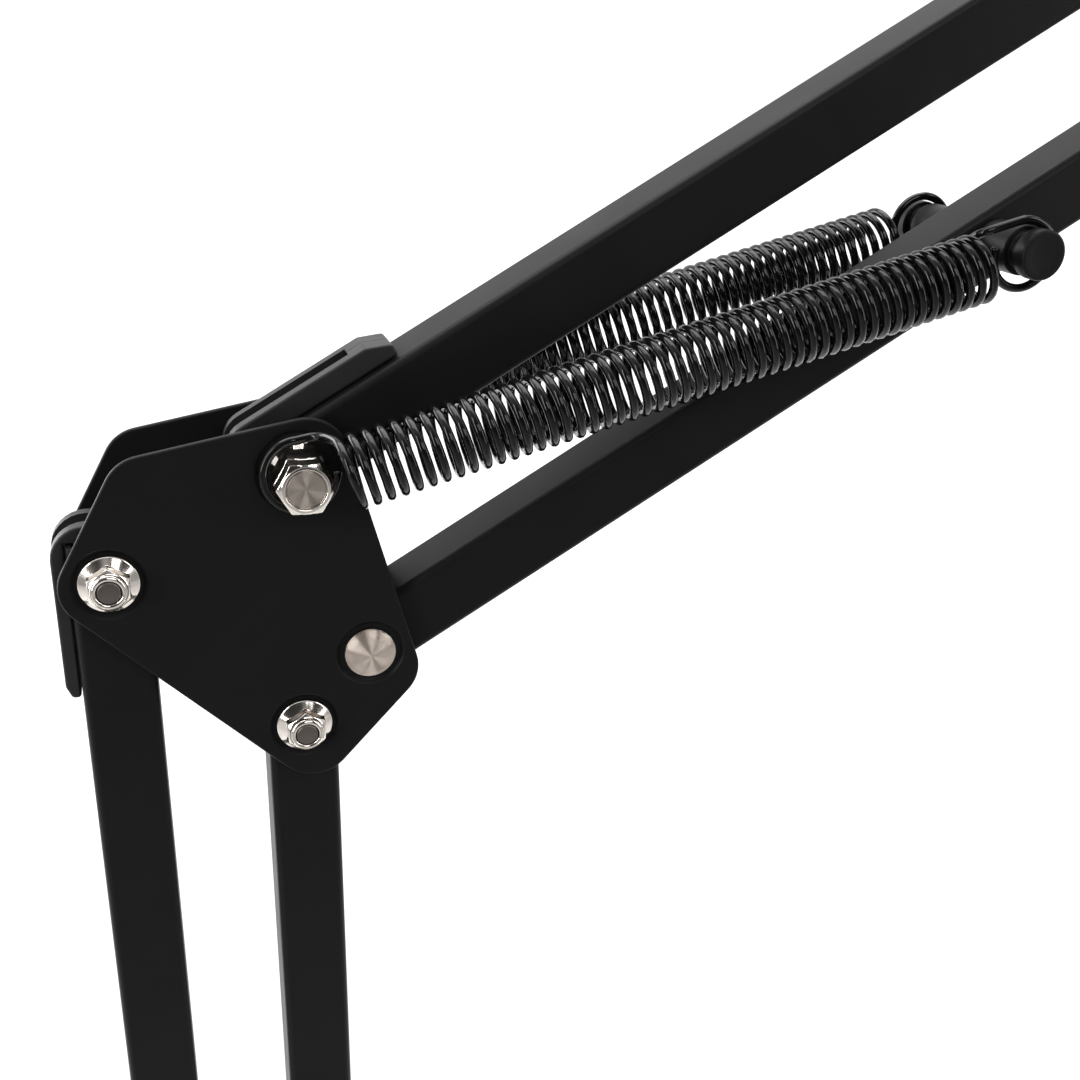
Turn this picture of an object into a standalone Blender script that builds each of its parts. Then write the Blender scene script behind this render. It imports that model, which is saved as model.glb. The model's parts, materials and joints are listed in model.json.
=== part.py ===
"""Sprung two-section microphone boom arm that clamps to a desk edge.

Two parallelogram arms of square steel tube meet at a pair of elbow plates. Extension
springs hang beside each arm, a swivel spigot turns in the socket of a desk clamp, and
a tilting tongue at the far end carries the microphone thread.

Frame: metres, +Z up, +X the way the upper arm reaches, -Y towards the viewer. The
origin is the middle of the rubber face that rests on the desk, below the swivel axis.
"""

import math

import bmesh
import bpy
from mathutils import Matrix, Vector

# Square tube bars and the plates that join them
BAR_WIDTH = 0.015
BAR_WALL = 0.0012
BAR_CORNER = 0.0016
BAR_TAIL = 0.0070
ARM_REACH = 0.340
PLATE_THICK = 0.0015
PLATE_GAP = 0.0012
PLATE_CORNER = 0.0085

# Pivot places: the lower pair, the upper pair, and the step from one pair to the other
LOWER_STEP_X = 0.03659
LOWER_STEP_Z = 0.03698
UPPER_STEP_X = 0.01332
UPPER_STEP_Z = 0.04196
ELBOW_STEP_X = 0.03786
ELBOW_STEP_Z = 0.02052
UPPER_ANGLE = 30.09

# Pivot dimples, bolts, nuts and rivets
DIMPLE_MARGIN = 0.0005
DIMPLE_SLOPE = 0.0009
BOLT_RADIUS = 0.0025
BOLT_HEAD_FLATS = 0.008
BOLT_HEAD_THICK = 0.0035
BOLT_END = 0.0006
FLANGE_RADIUS = 0.0060
FLANGE_THICK = 0.0011
NUT_FLATS = 0.008
NUT_HEIGHT = 0.0050
NUT_COLLAR_RADIUS = 0.0037
RIVET_HEAD_RADIUS = 0.0054
RIVET_HEAD_RISE = 0.0014
RIVET_RIM = 0.0008

# The long bolts that carry the springs
SPRING_BOLT_RADIUS = 0.0030
SPRING_BOLT_FLATS = 0.010
SPRING_HEAD_THICK = 0.0036
JAM_NUT_STAND = 0.0036
HEAD_SPACE = 0.0005

# Springs
COIL_RADIUS = 0.0068
WIRE_RADIUS = 0.00095
LOOP_POINTS = 10
LOOP_STAND = 0.0023
COIL_STAND = 0.0094
COIL_START = 0.0086
COIL_SHORT_OF_POST = 0.0119
SPRING_CURLS = 32
CURL_POINTS = 8

# Spring posts
UPPER_POST_REACH = 0.16533
POST_RADIUS = 0.0054
POST_CORE = 0.0030
POST_GROOVE_RADIUS = 0.0040
POST_GROOVE_WIDTH = 0.0030
POST_CAP = 0.0036

# Moulded end plugs and slotted guides
MOULD_EDGE = 0.0004
PLUG_REACH = 0.0080
PLUG_FLANGE = 0.0013
PLUG_FLANGE_HALF = 0.0050
GUIDE_WIDTH = 0.0104
GUIDE_SLOT = 0.0046
GUIDE_SLOT_END = 0.0208
GUIDE_DROP = 0.0021
GUIDE_NOSE = 0.0108
GUIDE_NOSE_CORNER = 0.0055
UPPER_GUIDE_RISE = 0.0050
UPPER_GUIDE_END = 0.0293
UPPER_GUIDE_TAPER = 0.0050
LOWER_GUIDE_RISE = 0.0032
LOWER_GUIDE_END = 0.0267
LOWER_GUIDE_TAPER = 0.0030

# Desk clamp
JAW_PAD_THICK = 0.002
JAW_PAD_LENGTH = 0.036
CLAMP_WIDTH = 0.026
UPPER_JAW_THICK = 0.010
LOWER_JAW_THICK = 0.012
CLAMP_OPENING = 0.058
CLAMP_THROAT = 0.025
CLAMP_SPINE = 0.011
UPPER_JAW_TIP = 0.024
LOWER_JAW_TIP = 0.013
CLAMP_EDGE = 0.0015
SOCKET_RADIUS = 0.013
SOCKET_HEIGHT = 0.028
SOCKET_FLOOR = 0.003
SPIGOT_RADIUS = 0.006
SPIGOT_GROOVE_RADIUS = 0.005
SPIGOT_GROOVE_WIDTH = 0.006
SPIGOT_TENON = 0.004
BUSH_WALL = 0.001
BUSH_FLANGE_RADIUS = 0.012
BUSH_FLANGE = 0.0015

# Swivel block between the base plates
BLOCK_HALF = 0.0155
BLOCK_HEIGHT = 0.0105
BLOCK_PIN_RADIUS = 0.002
BLOCK_PIN_HEAD = 0.0036
BLOCK_PIN_RISE = 0.0012
BLOCK_PIN_PLACE = 0.0105
BASE_RISE = 0.0253

# Clamp screw, its pressure disc and its handle
SCREW_RADIUS = 0.004
SCREW_NECK = 0.003
SCREW_HUB_RADIUS = 0.007
SCREW_HUB_HEIGHT = 0.013
SCREW_TRAVEL = 0.027
DISC_RADIUS = 0.016
DISC_THICK = 0.003
DISC_RUBBER = 0.0015
DISC_COLLAR_RADIUS = 0.007
DISC_COLLAR_HEIGHT = 0.006
DISC_LIP = 0.0015
DISC_DEPTH = 0.030
HANDLE_RADIUS = 0.0028
HANDLE_HALF = 0.030
HANDLE_BALL_RADIUS = 0.0042
HANDLE_BALL_LENGTH = 0.0080

# Knobs
LOCK_SCREW_RADIUS = 0.0025
LOCK_KNOB_RADIUS = 0.0095
LOCK_KNOB_THICK = 0.009
LOCK_KNOB_STAND = 0.0215
TILT_KNOB_RADIUS = 0.0135
TILT_KNOB_THICK = 0.011
KNOB_LOBES = 5
KNOB_HUB_SHARE = 0.54
KNOB_BITE = 0.007

# Head plates, tilting tongue and microphone thread
TILT_STEP_X = 0.044
TILT_STEP_Z = 0.022
TILT_BOLT_RADIUS = 0.003
TONGUE_RADIUS = 0.009
TONGUE_NECK = 0.0065
TONGUE_REACH = 0.026
STUD_RADIUS = 0.00476
STUD_LENGTH = 0.014
STUD_TENON = 0.003
STUD_TENON_DEPTH = 0.008
STUD_FLANGE_RADIUS = 0.0108
STUD_FLANGE = 0.003
ADAPTER_RADIUS = 0.00794
ADAPTER_LENGTH = 0.011
TURNED_EDGE = 0.0007

# Clearances
GAP = 0.0003
RUNNING = 0.00035

# Worked out from the sizes above
HALF_BAR = BAR_WIDTH / 2
TUBE_HALF = HALF_BAR - BAR_WALL
PLUG_HALF = TUBE_HALF - GAP
PLATE_INNER = HALF_BAR + PLATE_GAP
PLATE_OUTER = PLATE_INNER + PLATE_THICK
DISH = PLATE_GAP - GAP
SEAT = PLATE_OUTER - DISH + GAP
LOOP_LIP = PLATE_OUTER + LOOP_STAND + WIRE_RADIUS + GAP
JAM_TOP = LOOP_LIP + JAM_NUT_STAND
CLAMP_TOP = JAW_PAD_THICK + GAP + UPPER_JAW_THICK
CLAMP_FLOOR = JAW_PAD_THICK + GAP - CLAMP_OPENING
SOCKET_TOP = CLAMP_TOP + SOCKET_HEIGHT
SOCKET_BORE = SPIGOT_RADIUS + RUNNING + BUSH_WALL + GAP
LOCK_HEIGHT = CLAMP_TOP + SOCKET_HEIGHT / 2
BLOCK_BOTTOM = SOCKET_TOP + BUSH_FLANGE + 2 * GAP
BLOCK_TOP = BLOCK_BOTTOM + BLOCK_HEIGHT
UP = Vector((0, 0, 1))
RIGHT = Vector((1, 0, 0))
RISE = math.radians(UPPER_ANGLE)
UPPER_WAY = Vector((math.cos(RISE), 0, math.sin(RISE)))
BASE_RIGHT = Vector((LOWER_STEP_X / 2, 0, BLOCK_BOTTOM + BASE_RISE))
BASE_LEFT = BASE_RIGHT + Vector((-LOWER_STEP_X, 0, LOWER_STEP_Z))
ELBOW_LEFT = BASE_LEFT + UP * ARM_REACH
ELBOW_RIGHT = BASE_RIGHT + UP * ARM_REACH
ELBOW_TOP = ELBOW_LEFT + Vector((ELBOW_STEP_X, 0, ELBOW_STEP_Z))
ELBOW_BOTTOM = ELBOW_TOP + Vector((UPPER_STEP_X, 0, -UPPER_STEP_Z))
HEAD_TOP = ELBOW_TOP + UPPER_WAY * ARM_REACH
HEAD_BOTTOM = ELBOW_BOTTOM + UPPER_WAY * ARM_REACH
HEAD_TILT = HEAD_TOP + Vector((TILT_STEP_X, 0, -TILT_STEP_Z))
UPPER_POST = ELBOW_BOTTOM + UPPER_WAY * UPPER_POST_REACH
SPRING_LENGTH = (UPPER_POST - ELBOW_TOP).length
LOWER_POST = BASE_RIGHT + UP * (LOWER_STEP_Z + math.sqrt(SPRING_LENGTH ** 2 - LOWER_STEP_X ** 2))
LOOP_INNER = SPRING_BOLT_FLATS / math.sqrt(3) + GAP
LOOP_RADIUS = (LOOP_INNER + WIRE_RADIUS) / math.cos(math.pi / LOOP_POINTS)
NUT_FLOOR = FLANGE_RADIUS + DIMPLE_MARGIN
LOOP_FLOOR = LOOP_RADIUS + GAP
KNOB_FLOOR = TILT_KNOB_RADIUS * KNOB_HUB_SHARE + GAP
RING_CENTRE = SPRING_LENGTH - (LOOP_INNER - POST_GROOVE_RADIUS - GAP)
COIL_END = SPRING_LENGTH - COIL_SHORT_OF_POST
UPRIGHT = Matrix.Identity(4)
FRONT, REAR = -1, 1
SIDES = (("front", FRONT), ("rear", REAR))
FLAT_ON_TOP = math.pi / 6
STEPS = 12
NUT_STEPS = 12
FINE_STEPS = 18
BORE_STEPS = 8

for old in list(bpy.data.objects):
    bpy.data.objects.remove(old, do_unlink=True)

parts = bpy.data.collections.new("microphone_boom_arm")
cutters = bpy.data.collections.new("cutters")
for collection in (parts, cutters):
    bpy.context.scene.collection.children.link(collection)


def make_material(name, colour, metallic, roughness):
    material = bpy.data.materials.new(name)
    material.use_nodes = True
    shader = material.node_tree.nodes["Principled BSDF"]
    shader.inputs["Base Color"].default_value = (*colour, 1.0)
    shader.inputs["Metallic"].default_value = metallic
    shader.inputs["Roughness"].default_value = roughness
    return material


BLACK_COAT = make_material("black powder coat", (0.013, 0.013, 0.014), 0.0, 0.45)
NICKEL = make_material("bright nickel", (0.72, 0.69, 0.65), 1.0, 0.18)
SPRING_BLACK = make_material("black spring wire", (0.008, 0.008, 0.008), 0.6, 0.22)
NYLON = make_material("black nylon", (0.02, 0.02, 0.021), 0.0, 0.5)
RUBBER = make_material("black rubber", (0.018, 0.018, 0.018), 0.0, 0.8)


# General helpers


def new_object(name, data, material, collection=parts):
    piece = bpy.data.objects.new(name, data)
    collection.objects.link(piece)
    data.materials.append(material)
    return piece


def mesh_from(work, name):
    mesh = bpy.data.meshes.new(name)
    work.to_mesh(mesh)
    work.free()
    return mesh


def baked(piece):
    """The mesh that a piece shows, in world space. The piece itself is removed."""
    bpy.context.view_layer.update()
    graph = bpy.context.evaluated_depsgraph_get()
    mesh = bpy.data.meshes.new_from_object(piece.evaluated_get(graph))
    mesh.transform(piece.matrix_world)
    bpy.data.objects.remove(piece, do_unlink=True)
    work = bmesh.new()
    work.from_mesh(mesh)
    bmesh.ops.remove_doubles(work, verts=work.verts, dist=1e-6)
    bmesh.ops.recalc_face_normals(work, faces=work.faces)
    work.to_mesh(mesh)
    work.free()
    mesh.materials.clear()
    return mesh


def smooth(piece, angle=35):
    piece.data.shade_smooth()
    piece.data.set_sharp_from_angle(angle=math.radians(angle))


def change(piece, tools, operation):
    """One Boolean with tools that stay together as a hidden guide."""
    name = f"{piece.name}_{operation.lower()}_{len(piece.modifiers)}"
    work = bmesh.new()
    for tool in tools:
        work.from_mesh(baked(tool))
    tool = new_object(name, mesh_from(work, name), piece.data.materials[0], cutters)
    tool.display_type = "WIRE"
    tool.hide_render = True
    step = piece.modifiers.new(operation.title(), "BOOLEAN")
    step.operation = operation
    step.object = tool
    step.solver = "EXACT"


def cut(piece, tools):
    change(piece, tools, "DIFFERENCE")


def add(piece, tools):
    change(piece, tools, "UNION")


def bevel(piece, width, segments=1):
    edge = piece.modifiers.new("Bevel", "BEVEL")
    edge.width = width
    edge.segments = segments
    edge.limit_method = "ANGLE"
    edge.angle_limit = math.radians(50)


def circle(x, z, radius, steps=STEPS):
    turn = 2 * math.pi / steps
    return [(x + radius * math.cos(i * turn), z + radius * math.sin(i * turn)) for i in range(steps)]


def rounded(corners, steps=4):
    """A closed outline through (x, z, radius) corners, each turned by an arc."""
    outline = []
    for i, (x, z, radius) in enumerate(corners):
        here = Vector((x, z))
        back = (Vector(corners[i - 1][:2]) - here).normalized()
        ahead = (Vector(corners[(i + 1) % len(corners)][:2]) - here).normalized()
        half = back.angle(ahead) / 2
        centre = here + (back + ahead).normalized() * (radius / math.sin(half))
        start = here + back * (radius / math.tan(half)) - centre
        end = here + ahead * (radius / math.tan(half)) - centre
        sweep = -start.angle_signed(end)
        for step in range(steps + 1):
            turn = sweep * step / steps
            x_spoke = start.x * math.cos(turn) - start.y * math.sin(turn)
            z_spoke = start.x * math.sin(turn) + start.y * math.cos(turn)
            outline.append((centre.x + x_spoke, centre.y + z_spoke))
    return outline


def sheet(name, loops, thickness, centre_y, material):
    """A flat solid: the first loop is its outline in XZ, the others are its holes."""
    curve = bpy.data.curves.new(name, "CURVE")
    curve.dimensions = "2D"
    curve.fill_mode = "BOTH"
    curve.extrude = thickness / 2
    for loop in loops:
        spline = curve.splines.new("POLY")
        spline.points.add(len(loop) - 1)
        for point, (x, z) in zip(spline.points, loop):
            point.co = (x, z, 0, 1)
        spline.use_cyclic_u = True
    drawn = new_object(name + "_outline", curve, material)
    drawn.matrix_world = Matrix.Translation((0, centre_y, 0)) @ Matrix.Rotation(math.pi / 2, 4, "X")
    return new_object(name, baked(drawn), material)


def turned(name, profile, place, material, steps=STEPS):
    """A turned solid about local Z: its (radius, height) pairs run down the outer side."""
    mesh = bpy.data.meshes.new(name)
    edges = [(i, i + 1) for i in range(len(profile) - 1)]
    if profile[0][0] > 0:
        edges.append((len(profile) - 1, 0))
    mesh.from_pydata([(radius, 0, height) for radius, height in profile], edges, [])
    piece = new_object(name, mesh, material)
    piece.matrix_world = place
    turn = piece.modifiers.new("Turn", "SCREW")
    turn.axis = "Z"
    turn.angle = 2 * math.pi
    turn.steps = turn.render_steps = steps
    turn.use_merge_vertices = True
    turn.merge_threshold = 0.00001
    return piece


def rod(name, place, radius, low, high, material, steps=STEPS):
    return turned(name, [(0, high), (radius, high), (radius, low), (0, low)], place, material, steps)


def solid(piece):
    """The piece with its modifiers applied, shaded smooth, under the same name."""
    name = piece.name
    material = piece.data.materials[0]
    place = piece.matrix_world.copy()
    mesh = baked(piece)
    mesh.transform(place.inverted())
    done = new_object(name, mesh, material)
    done.matrix_world = place
    smooth(done)
    return done


def ring(radius, height, steps=NUT_STEPS):
    turn = 2 * math.pi / steps
    return [(radius * math.cos(i * turn), radius * math.sin(i * turn), height) for i in range(steps)]


def hexagon(flats, height, turn=0.0, steps=NUT_STEPS):
    """A hexagon with as many points as a ring, so that the two can be skinned together."""
    points = []
    for i in range(steps):
        angle = 2 * math.pi * i / steps
        reach = flats / 2 / math.cos((angle + turn + math.pi / 6) % (math.pi / 3) - math.pi / 6)
        points.append((reach * math.cos(angle), reach * math.sin(angle), height))
    return points


def lobes(radius, bite, height, steps=4 * KNOB_LOBES):
    """A knob's grip outline: rounded lobes with shallow hollows for the fingers."""
    points = []
    for i in range(steps):
        angle = 2 * math.pi * i / steps
        reach = radius * (1 - bite * (1 - math.cos(KNOB_LOBES * angle)) / 2)
        points.append((reach * math.cos(angle), reach * math.sin(angle), height))
    return points


def lofted(name, rings, place, material, bored=False):
    """A solid skinned over rings of equal count. A bored one closes on its first ring."""
    work = bmesh.new()
    rows = [[work.verts.new(point) for point in points] for points in rings]
    pairs = list(zip(rows, rows[1:]))
    if bored:
        pairs.append((rows[-1], rows[0]))
    else:
        work.faces.new(rows[0][::-1])
        work.faces.new(rows[-1])
    count = len(rows[0])
    for low, high in pairs:
        for i in range(count):
            j = (i + 1) % count
            work.faces.new((low[i], low[j], high[j], high[i]))
    piece = new_object(name, mesh_from(work, name), material)
    piece.matrix_world = place
    return piece


def block(name, low, high, place, material):
    """A box between two corners of a local frame."""
    work = bmesh.new()
    bmesh.ops.create_cube(work, size=1.0)
    size = Vector(high) - Vector(low)
    middle = (Vector(high) + Vector(low)) / 2
    fitted = Matrix.Translation(middle) @ Matrix.Diagonal((*size, 1))
    bmesh.ops.transform(work, matrix=fitted, verts=work.verts)
    piece = new_object(name, mesh_from(work, name), material)
    piece.matrix_world = place
    return piece


def facing(point, side):
    """A frame at a pivot whose local Z points out to the front or the rear."""
    return Matrix.Translation(point) @ Matrix.Rotation(-side * math.pi / 2, 4, "X")


def along(point, way, out=Vector((0, 1, 0))):
    """Local X runs along a bar or spring, local Y points rearwards or out and local Z lies across."""
    return Matrix.Translation(point) @ Matrix((way, out, way.cross(out))).transposed().to_4x4()


# Fasteners


def bolt(name, place, radius, flats, thick, seat, reach, turn=0.0):
    """A hexagon head on local +Z that bears at the seat height, with its shank down to reach."""
    rings = [
        ring(radius, reach),
        ring(radius, seat),
        hexagon(flats, seat, turn),
        hexagon(flats, seat + thick * 0.85, turn),
        ring(flats / 2 * 0.95, seat + thick),
    ]
    return lofted(name, rings, place, NICKEL)


def flange_nut(name, place):
    """A hexagon nut with a round flange at its foot and a round locking collar at its top."""
    bore = BOLT_RADIUS + GAP
    rings = [
        ring(bore, SEAT),
        ring(FLANGE_RADIUS, SEAT),
        ring(FLANGE_RADIUS, SEAT + FLANGE_THICK * 0.6),
        hexagon(NUT_FLATS, SEAT + FLANGE_THICK * 1.5),
        hexagon(NUT_FLATS, SEAT + NUT_HEIGHT * 0.8),
        ring(NUT_COLLAR_RADIUS, SEAT + NUT_HEIGHT * 0.86),
        ring(NUT_COLLAR_RADIUS * 0.93, SEAT + NUT_HEIGHT),
        ring(bore, SEAT + NUT_HEIGHT),
    ]
    return lofted(name, rings, place, NICKEL, bored=True)


def jam_nut(name, place, ended=False):
    """The nut that clamps a plate: a flange in the dimple and a long hexagon for the spring's loop.

    The rear one carries on as the end nut, locked against it.
    """
    bore = SPRING_BOLT_RADIUS + GAP
    top = JAM_TOP
    rings = [
        ring(bore, SEAT),
        ring(FLANGE_RADIUS, SEAT),
        ring(FLANGE_RADIUS, SEAT + FLANGE_THICK),
        hexagon(SPRING_BOLT_FLATS, SEAT + FLANGE_THICK, FLAT_ON_TOP),
        hexagon(SPRING_BOLT_FLATS, JAM_TOP, FLAT_ON_TOP),
    ]
    if ended:
        seat = JAM_TOP + HEAD_SPACE
        top = seat + SPRING_HEAD_THICK
        rings += [
            ring(SPRING_BOLT_FLATS * 0.45, JAM_TOP),
            ring(SPRING_BOLT_FLATS * 0.45, seat),
            hexagon(SPRING_BOLT_FLATS, seat, FLAT_ON_TOP),
            hexagon(SPRING_BOLT_FLATS, seat + SPRING_HEAD_THICK * 0.85, FLAT_ON_TOP),
            ring(SPRING_BOLT_FLATS * 0.475, top),
        ]
    rings.append(ring(bore, top))
    smooth(lofted(name, rings, place, NICKEL, bored=True))


def spring_bolt(prefix, pivot):
    """The long bolt through a pivot and the nuts that hold the springs' loops on it."""
    seat = JAM_TOP + HEAD_SPACE
    end = seat + SPRING_HEAD_THICK
    name = prefix + "_spring_bolt"
    place = facing(pivot, FRONT)
    reach = -end - BOLT_END
    flats = SPRING_BOLT_FLATS
    smooth(bolt(name, place, SPRING_BOLT_RADIUS, flats, SPRING_HEAD_THICK, seat, reach, FLAT_ON_TOP))
    jam_nut(prefix + "_spring_nut_front", facing(pivot, FRONT))
    jam_nut(prefix + "_spring_nut_rear", facing(pivot, REAR), ended=True)


def rivet(name, pivot):
    """A shank through both plates with a low domed head at each end."""
    rim = SEAT + RIVET_RIM
    head_side = [
        (0, rim + RIVET_HEAD_RISE),
        (RIVET_HEAD_RADIUS * 0.5, rim + RIVET_HEAD_RISE * 0.72),
        (RIVET_HEAD_RADIUS, rim),
        (RIVET_HEAD_RADIUS, SEAT),
        (BOLT_RADIUS, SEAT),
    ]
    profile = head_side + [(radius, -height) for radius, height in reversed(head_side)]
    solid(turned(name, profile, facing(pivot, FRONT), NICKEL))


# Bars, plugs, guides and posts


def bar(name, pivot, way, pivot_radius, post_at=None):
    """A square tube between two pivots, drilled across at both and at its spring post."""
    quarters = [(1, 1), (-1, 1), (-1, -1), (1, -1)]
    outer = rounded([(x * HALF_BAR, z * HALF_BAR, BAR_CORNER) for x, z in quarters], 2)
    inner = [(x * TUBE_HALF, z * TUBE_HALF) for x, z in quarters]
    tube = sheet(name, [outer, inner], ARM_REACH + 2 * BAR_TAIL, 0, BLACK_COAT)
    tube.data.transform(Matrix.Rotation(math.pi / 2, 4, "Z"))
    tube.data.transform(Matrix.Translation((ARM_REACH / 2, 0, 0)))
    tube.matrix_world = along(pivot, way)
    holes = [(pivot, pivot_radius + 3 * RUNNING), (pivot + way * ARM_REACH, BOLT_RADIUS + 3 * RUNNING)]
    if post_at:
        holes.append((post_at, POST_CORE + GAP))
    drills = []
    for at, radius in holes:
        drills.append(rod("drill", facing(at, FRONT), radius, -BAR_WIDTH, BAR_WIDTH, NYLON, BORE_STEPS))
    cut(tube, drills)
    smooth(tube)


def plug(name, pivot, way, pivot_radius):
    """A nylon plug in a tube's end, with a flange over the end and a bore for the pivot."""
    face = -BAR_TAIL - GAP
    outline = [
        (PLUG_REACH, -PLUG_HALF),
        (PLUG_REACH, PLUG_HALF),
        (face, PLUG_HALF),
        (face - PLUG_FLANGE, PLUG_FLANGE_HALF),
        (face - PLUG_FLANGE, -PLUG_FLANGE_HALF),
        (face, -PLUG_HALF),
    ]
    bore = circle(0, 0, pivot_radius + RUNNING, BORE_STEPS)
    piece = sheet(name, [outline, bore], 2 * PLUG_HALF, 0, NYLON)
    piece.matrix_world = along(pivot, way)


def guide(name, pivot, way, outward, rise, end, taper, pivot_radius):
    """A pivot plug whose nose wraps the tube's end as two ears and runs on as a slotted outer rail."""
    foot = HALF_BAR + GAP
    top = HALF_BAR + rise
    face = -BAR_TAIL - GAP
    web = face - PLUG_FLANGE
    outline = [(PLUG_REACH, PLUG_HALF), (face, PLUG_HALF), (face, foot), (end, foot)]
    outline += [(end, top - GUIDE_DROP), (end - taper, top)]
    for step in range(6):
        angle = math.pi / 2 * (1 + step / 5)
        x = GUIDE_NOSE_CORNER * (1 + math.cos(angle)) - GUIDE_NOSE
        outline.append((x, top - GUIDE_NOSE_CORNER * (1 - math.sin(angle))))
    outline += [(-GUIDE_NOSE, 0), (web, -PLUG_HALF), (PLUG_REACH, -PLUG_HALF)]
    bore = circle(0, 0, pivot_radius + RUNNING, BORE_STEPS)
    piece = sheet(name, [[(x, z * outward) for x, z in outline], bore], GUIDE_WIDTH, 0, NYLON)
    place = along(pivot, way)
    piece.matrix_world = place
    low, high = sorted((outward * foot, outward * 2 * top))
    half = GUIDE_SLOT / 2
    reach = 2 * GUIDE_NOSE
    cut(piece, [block("rail_slot", (-reach, -half, low), (GUIDE_SLOT_END, half, high), place, NYLON)])
    cut(piece, [block("nose_slot", (-reach, -half, -2 * top), (web, half, 2 * top), place, NYLON)])
    smooth(piece)


def post(name, place):
    """A pin through the bar whose grooved ends stand out at the front and the rear for the hooks."""
    groove = PLATE_OUTER + COIL_STAND
    low = groove - POST_GROOVE_WIDTH / 2
    high = groove + POST_GROOVE_WIDTH / 2
    end = [
        (0, high + POST_CAP * 0.93),
        (POST_RADIUS * 0.88, high + POST_CAP),
        (POST_RADIUS, high + POST_CAP * 0.85),
        (POST_RADIUS, high),
        (POST_GROOVE_RADIUS, high),
        (POST_GROOVE_RADIUS, low),
        (POST_RADIUS, low),
        (POST_RADIUS, HALF_BAR + GAP),
        (POST_CORE, HALF_BAR + GAP),
    ]
    profile = end + [(radius, -height) for radius, height in reversed(end)]
    solid(turned(name, profile, facing(place, FRONT), BLACK_COAT))


# Springs: local X runs from bolt to post, local Y out from the plate and local Z across


def bolt_loop():
    """The open loop round the bolt and the lead from it, which rises from the plate to the first curl."""
    points = []
    for step in range(LOOP_POINTS - 1):
        angle = math.radians(24) + 2 * math.pi * step / LOOP_POINTS
        points.append(Vector((LOOP_RADIUS * math.cos(angle), LOOP_STAND, LOOP_RADIUS * math.sin(angle))))
    points.append(Vector((COIL_START * 0.75, (LOOP_STAND + COIL_STAND) / 2, -COIL_RADIUS * 0.97)))
    return points


def coil_points():
    """The loop, the curls and the straight end that meets the hook."""
    points = bolt_loop()
    count = SPRING_CURLS * CURL_POINTS - 1
    for step in range(count + 1):
        turn = 2 * math.pi * step / CURL_POINTS
        place = COIL_START + (COIL_END - COIL_START) * step / count
        out = COIL_STAND + COIL_RADIUS * math.sin(turn)
        points.append(Vector((place, out, -COIL_RADIUS * math.cos(turn))))
    out = COIL_STAND - COIL_RADIUS * 0.22
    points.append(Vector((COIL_END + WIRE_RADIUS * 0.5, out, -COIL_RADIUS * 0.98)))
    points.append(Vector((COIL_END + WIRE_RADIUS * 1.6, COIL_STAND, -LOOP_RADIUS)))
    points.append(Vector((COIL_END + WIRE_RADIUS * 3.8, COIL_STAND, -LOOP_RADIUS)))
    return points


def hook_points(start):
    """The straight lead that carries on from the curls and the ring that drops over the post."""
    points = [Vector((start, COIL_STAND, -LOOP_RADIUS))]
    points.append(Vector((start + WIRE_RADIUS * 2.2, COIL_STAND, -LOOP_RADIUS)))
    sweep = math.radians(295)
    for step in range(LOOP_POINTS):
        angle = -math.pi / 2 + sweep * step / (LOOP_POINTS - 1)
        place = RING_CENTRE + LOOP_RADIUS * math.cos(angle)
        points.append(Vector((place, COIL_STAND, LOOP_RADIUS * math.sin(angle))))
    return points


def least_gap(points):
    """The least clear distance between stretches of one wire that are not neighbours."""
    travelled = [0.0]
    for before, after in zip(points, points[1:]):
        travelled.append(travelled[-1] + (after - before).length)
    least = math.inf
    for i, here in enumerate(points):
        for j in range(i + 1, len(points) - 1):
            if travelled[j] - travelled[i] < 6 * WIRE_RADIUS:
                continue
            step = points[j + 1] - points[j]
            share = max(0.0, min(1.0, (here - points[j]).dot(step) / step.length_squared))
            least = min(least, (here - points[j] - step * share).length)
    return least - 2 * WIRE_RADIUS


def wire(name, points, frame):
    """A round wire through the points, as one closed tube."""
    curve = bpy.data.curves.new(name, "CURVE")
    curve.dimensions = "3D"
    curve.bevel_depth = WIRE_RADIUS
    curve.bevel_resolution = 1
    curve.use_fill_caps = True
    spline = curve.splines.new("POLY")
    spline.points.add(len(points) - 1)
    for point, place in zip(spline.points, points):
        point.co = (*place, 1)
    drawn = new_object(name, curve, SPRING_BLACK)
    drawn.matrix_world = frame
    return drawn


def spring(prefix, label, side, bolt_at, post_at, curled):
    """One extension spring: its curls with the bolt loop, and its post hook."""
    way = (post_at - bolt_at).normalized()
    out = Vector((0, side, 0))
    frame = along(bolt_at + out * PLATE_OUTER, way, out)
    name = f"{prefix}_spring_coil_{label}"
    if curled:
        print(f"{name}: least gap to itself {least_gap(coil_points()) * 1000:.2f} mm")
        end = COIL_END + WIRE_RADIUS * 3.8
        solid(wire(name, coil_points(), frame))
    else:
        start = COIL_START + 3 * WIRE_RADIUS
        end = COIL_END + WIRE_RADIUS
        lead = bolt_loop()
        lead.append(Vector((COIL_START, COIL_STAND, -COIL_RADIUS)))
        lead.append(Vector((start + 2 * WIRE_RADIUS, COIL_STAND, -COIL_RADIUS * 0.9)))
        place = frame @ Matrix.Translation((0, COIL_STAND, 0)) @ Matrix.Rotation(math.pi / 2, 4, "Y")
        sleeve = rod(name, place, COIL_RADIUS + WIRE_RADIUS, start, end, SPRING_BLACK)
        add(sleeve, [wire("lead", lead, frame)])
        solid(sleeve)
    hook = hook_points(end + GAP)
    print(f"{prefix}_spring_hook_{label}: least gap to itself {least_gap(hook) * 1000:.2f} mm")
    solid(wire(f"{prefix}_spring_hook_{label}", hook, frame))


# Plates


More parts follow.
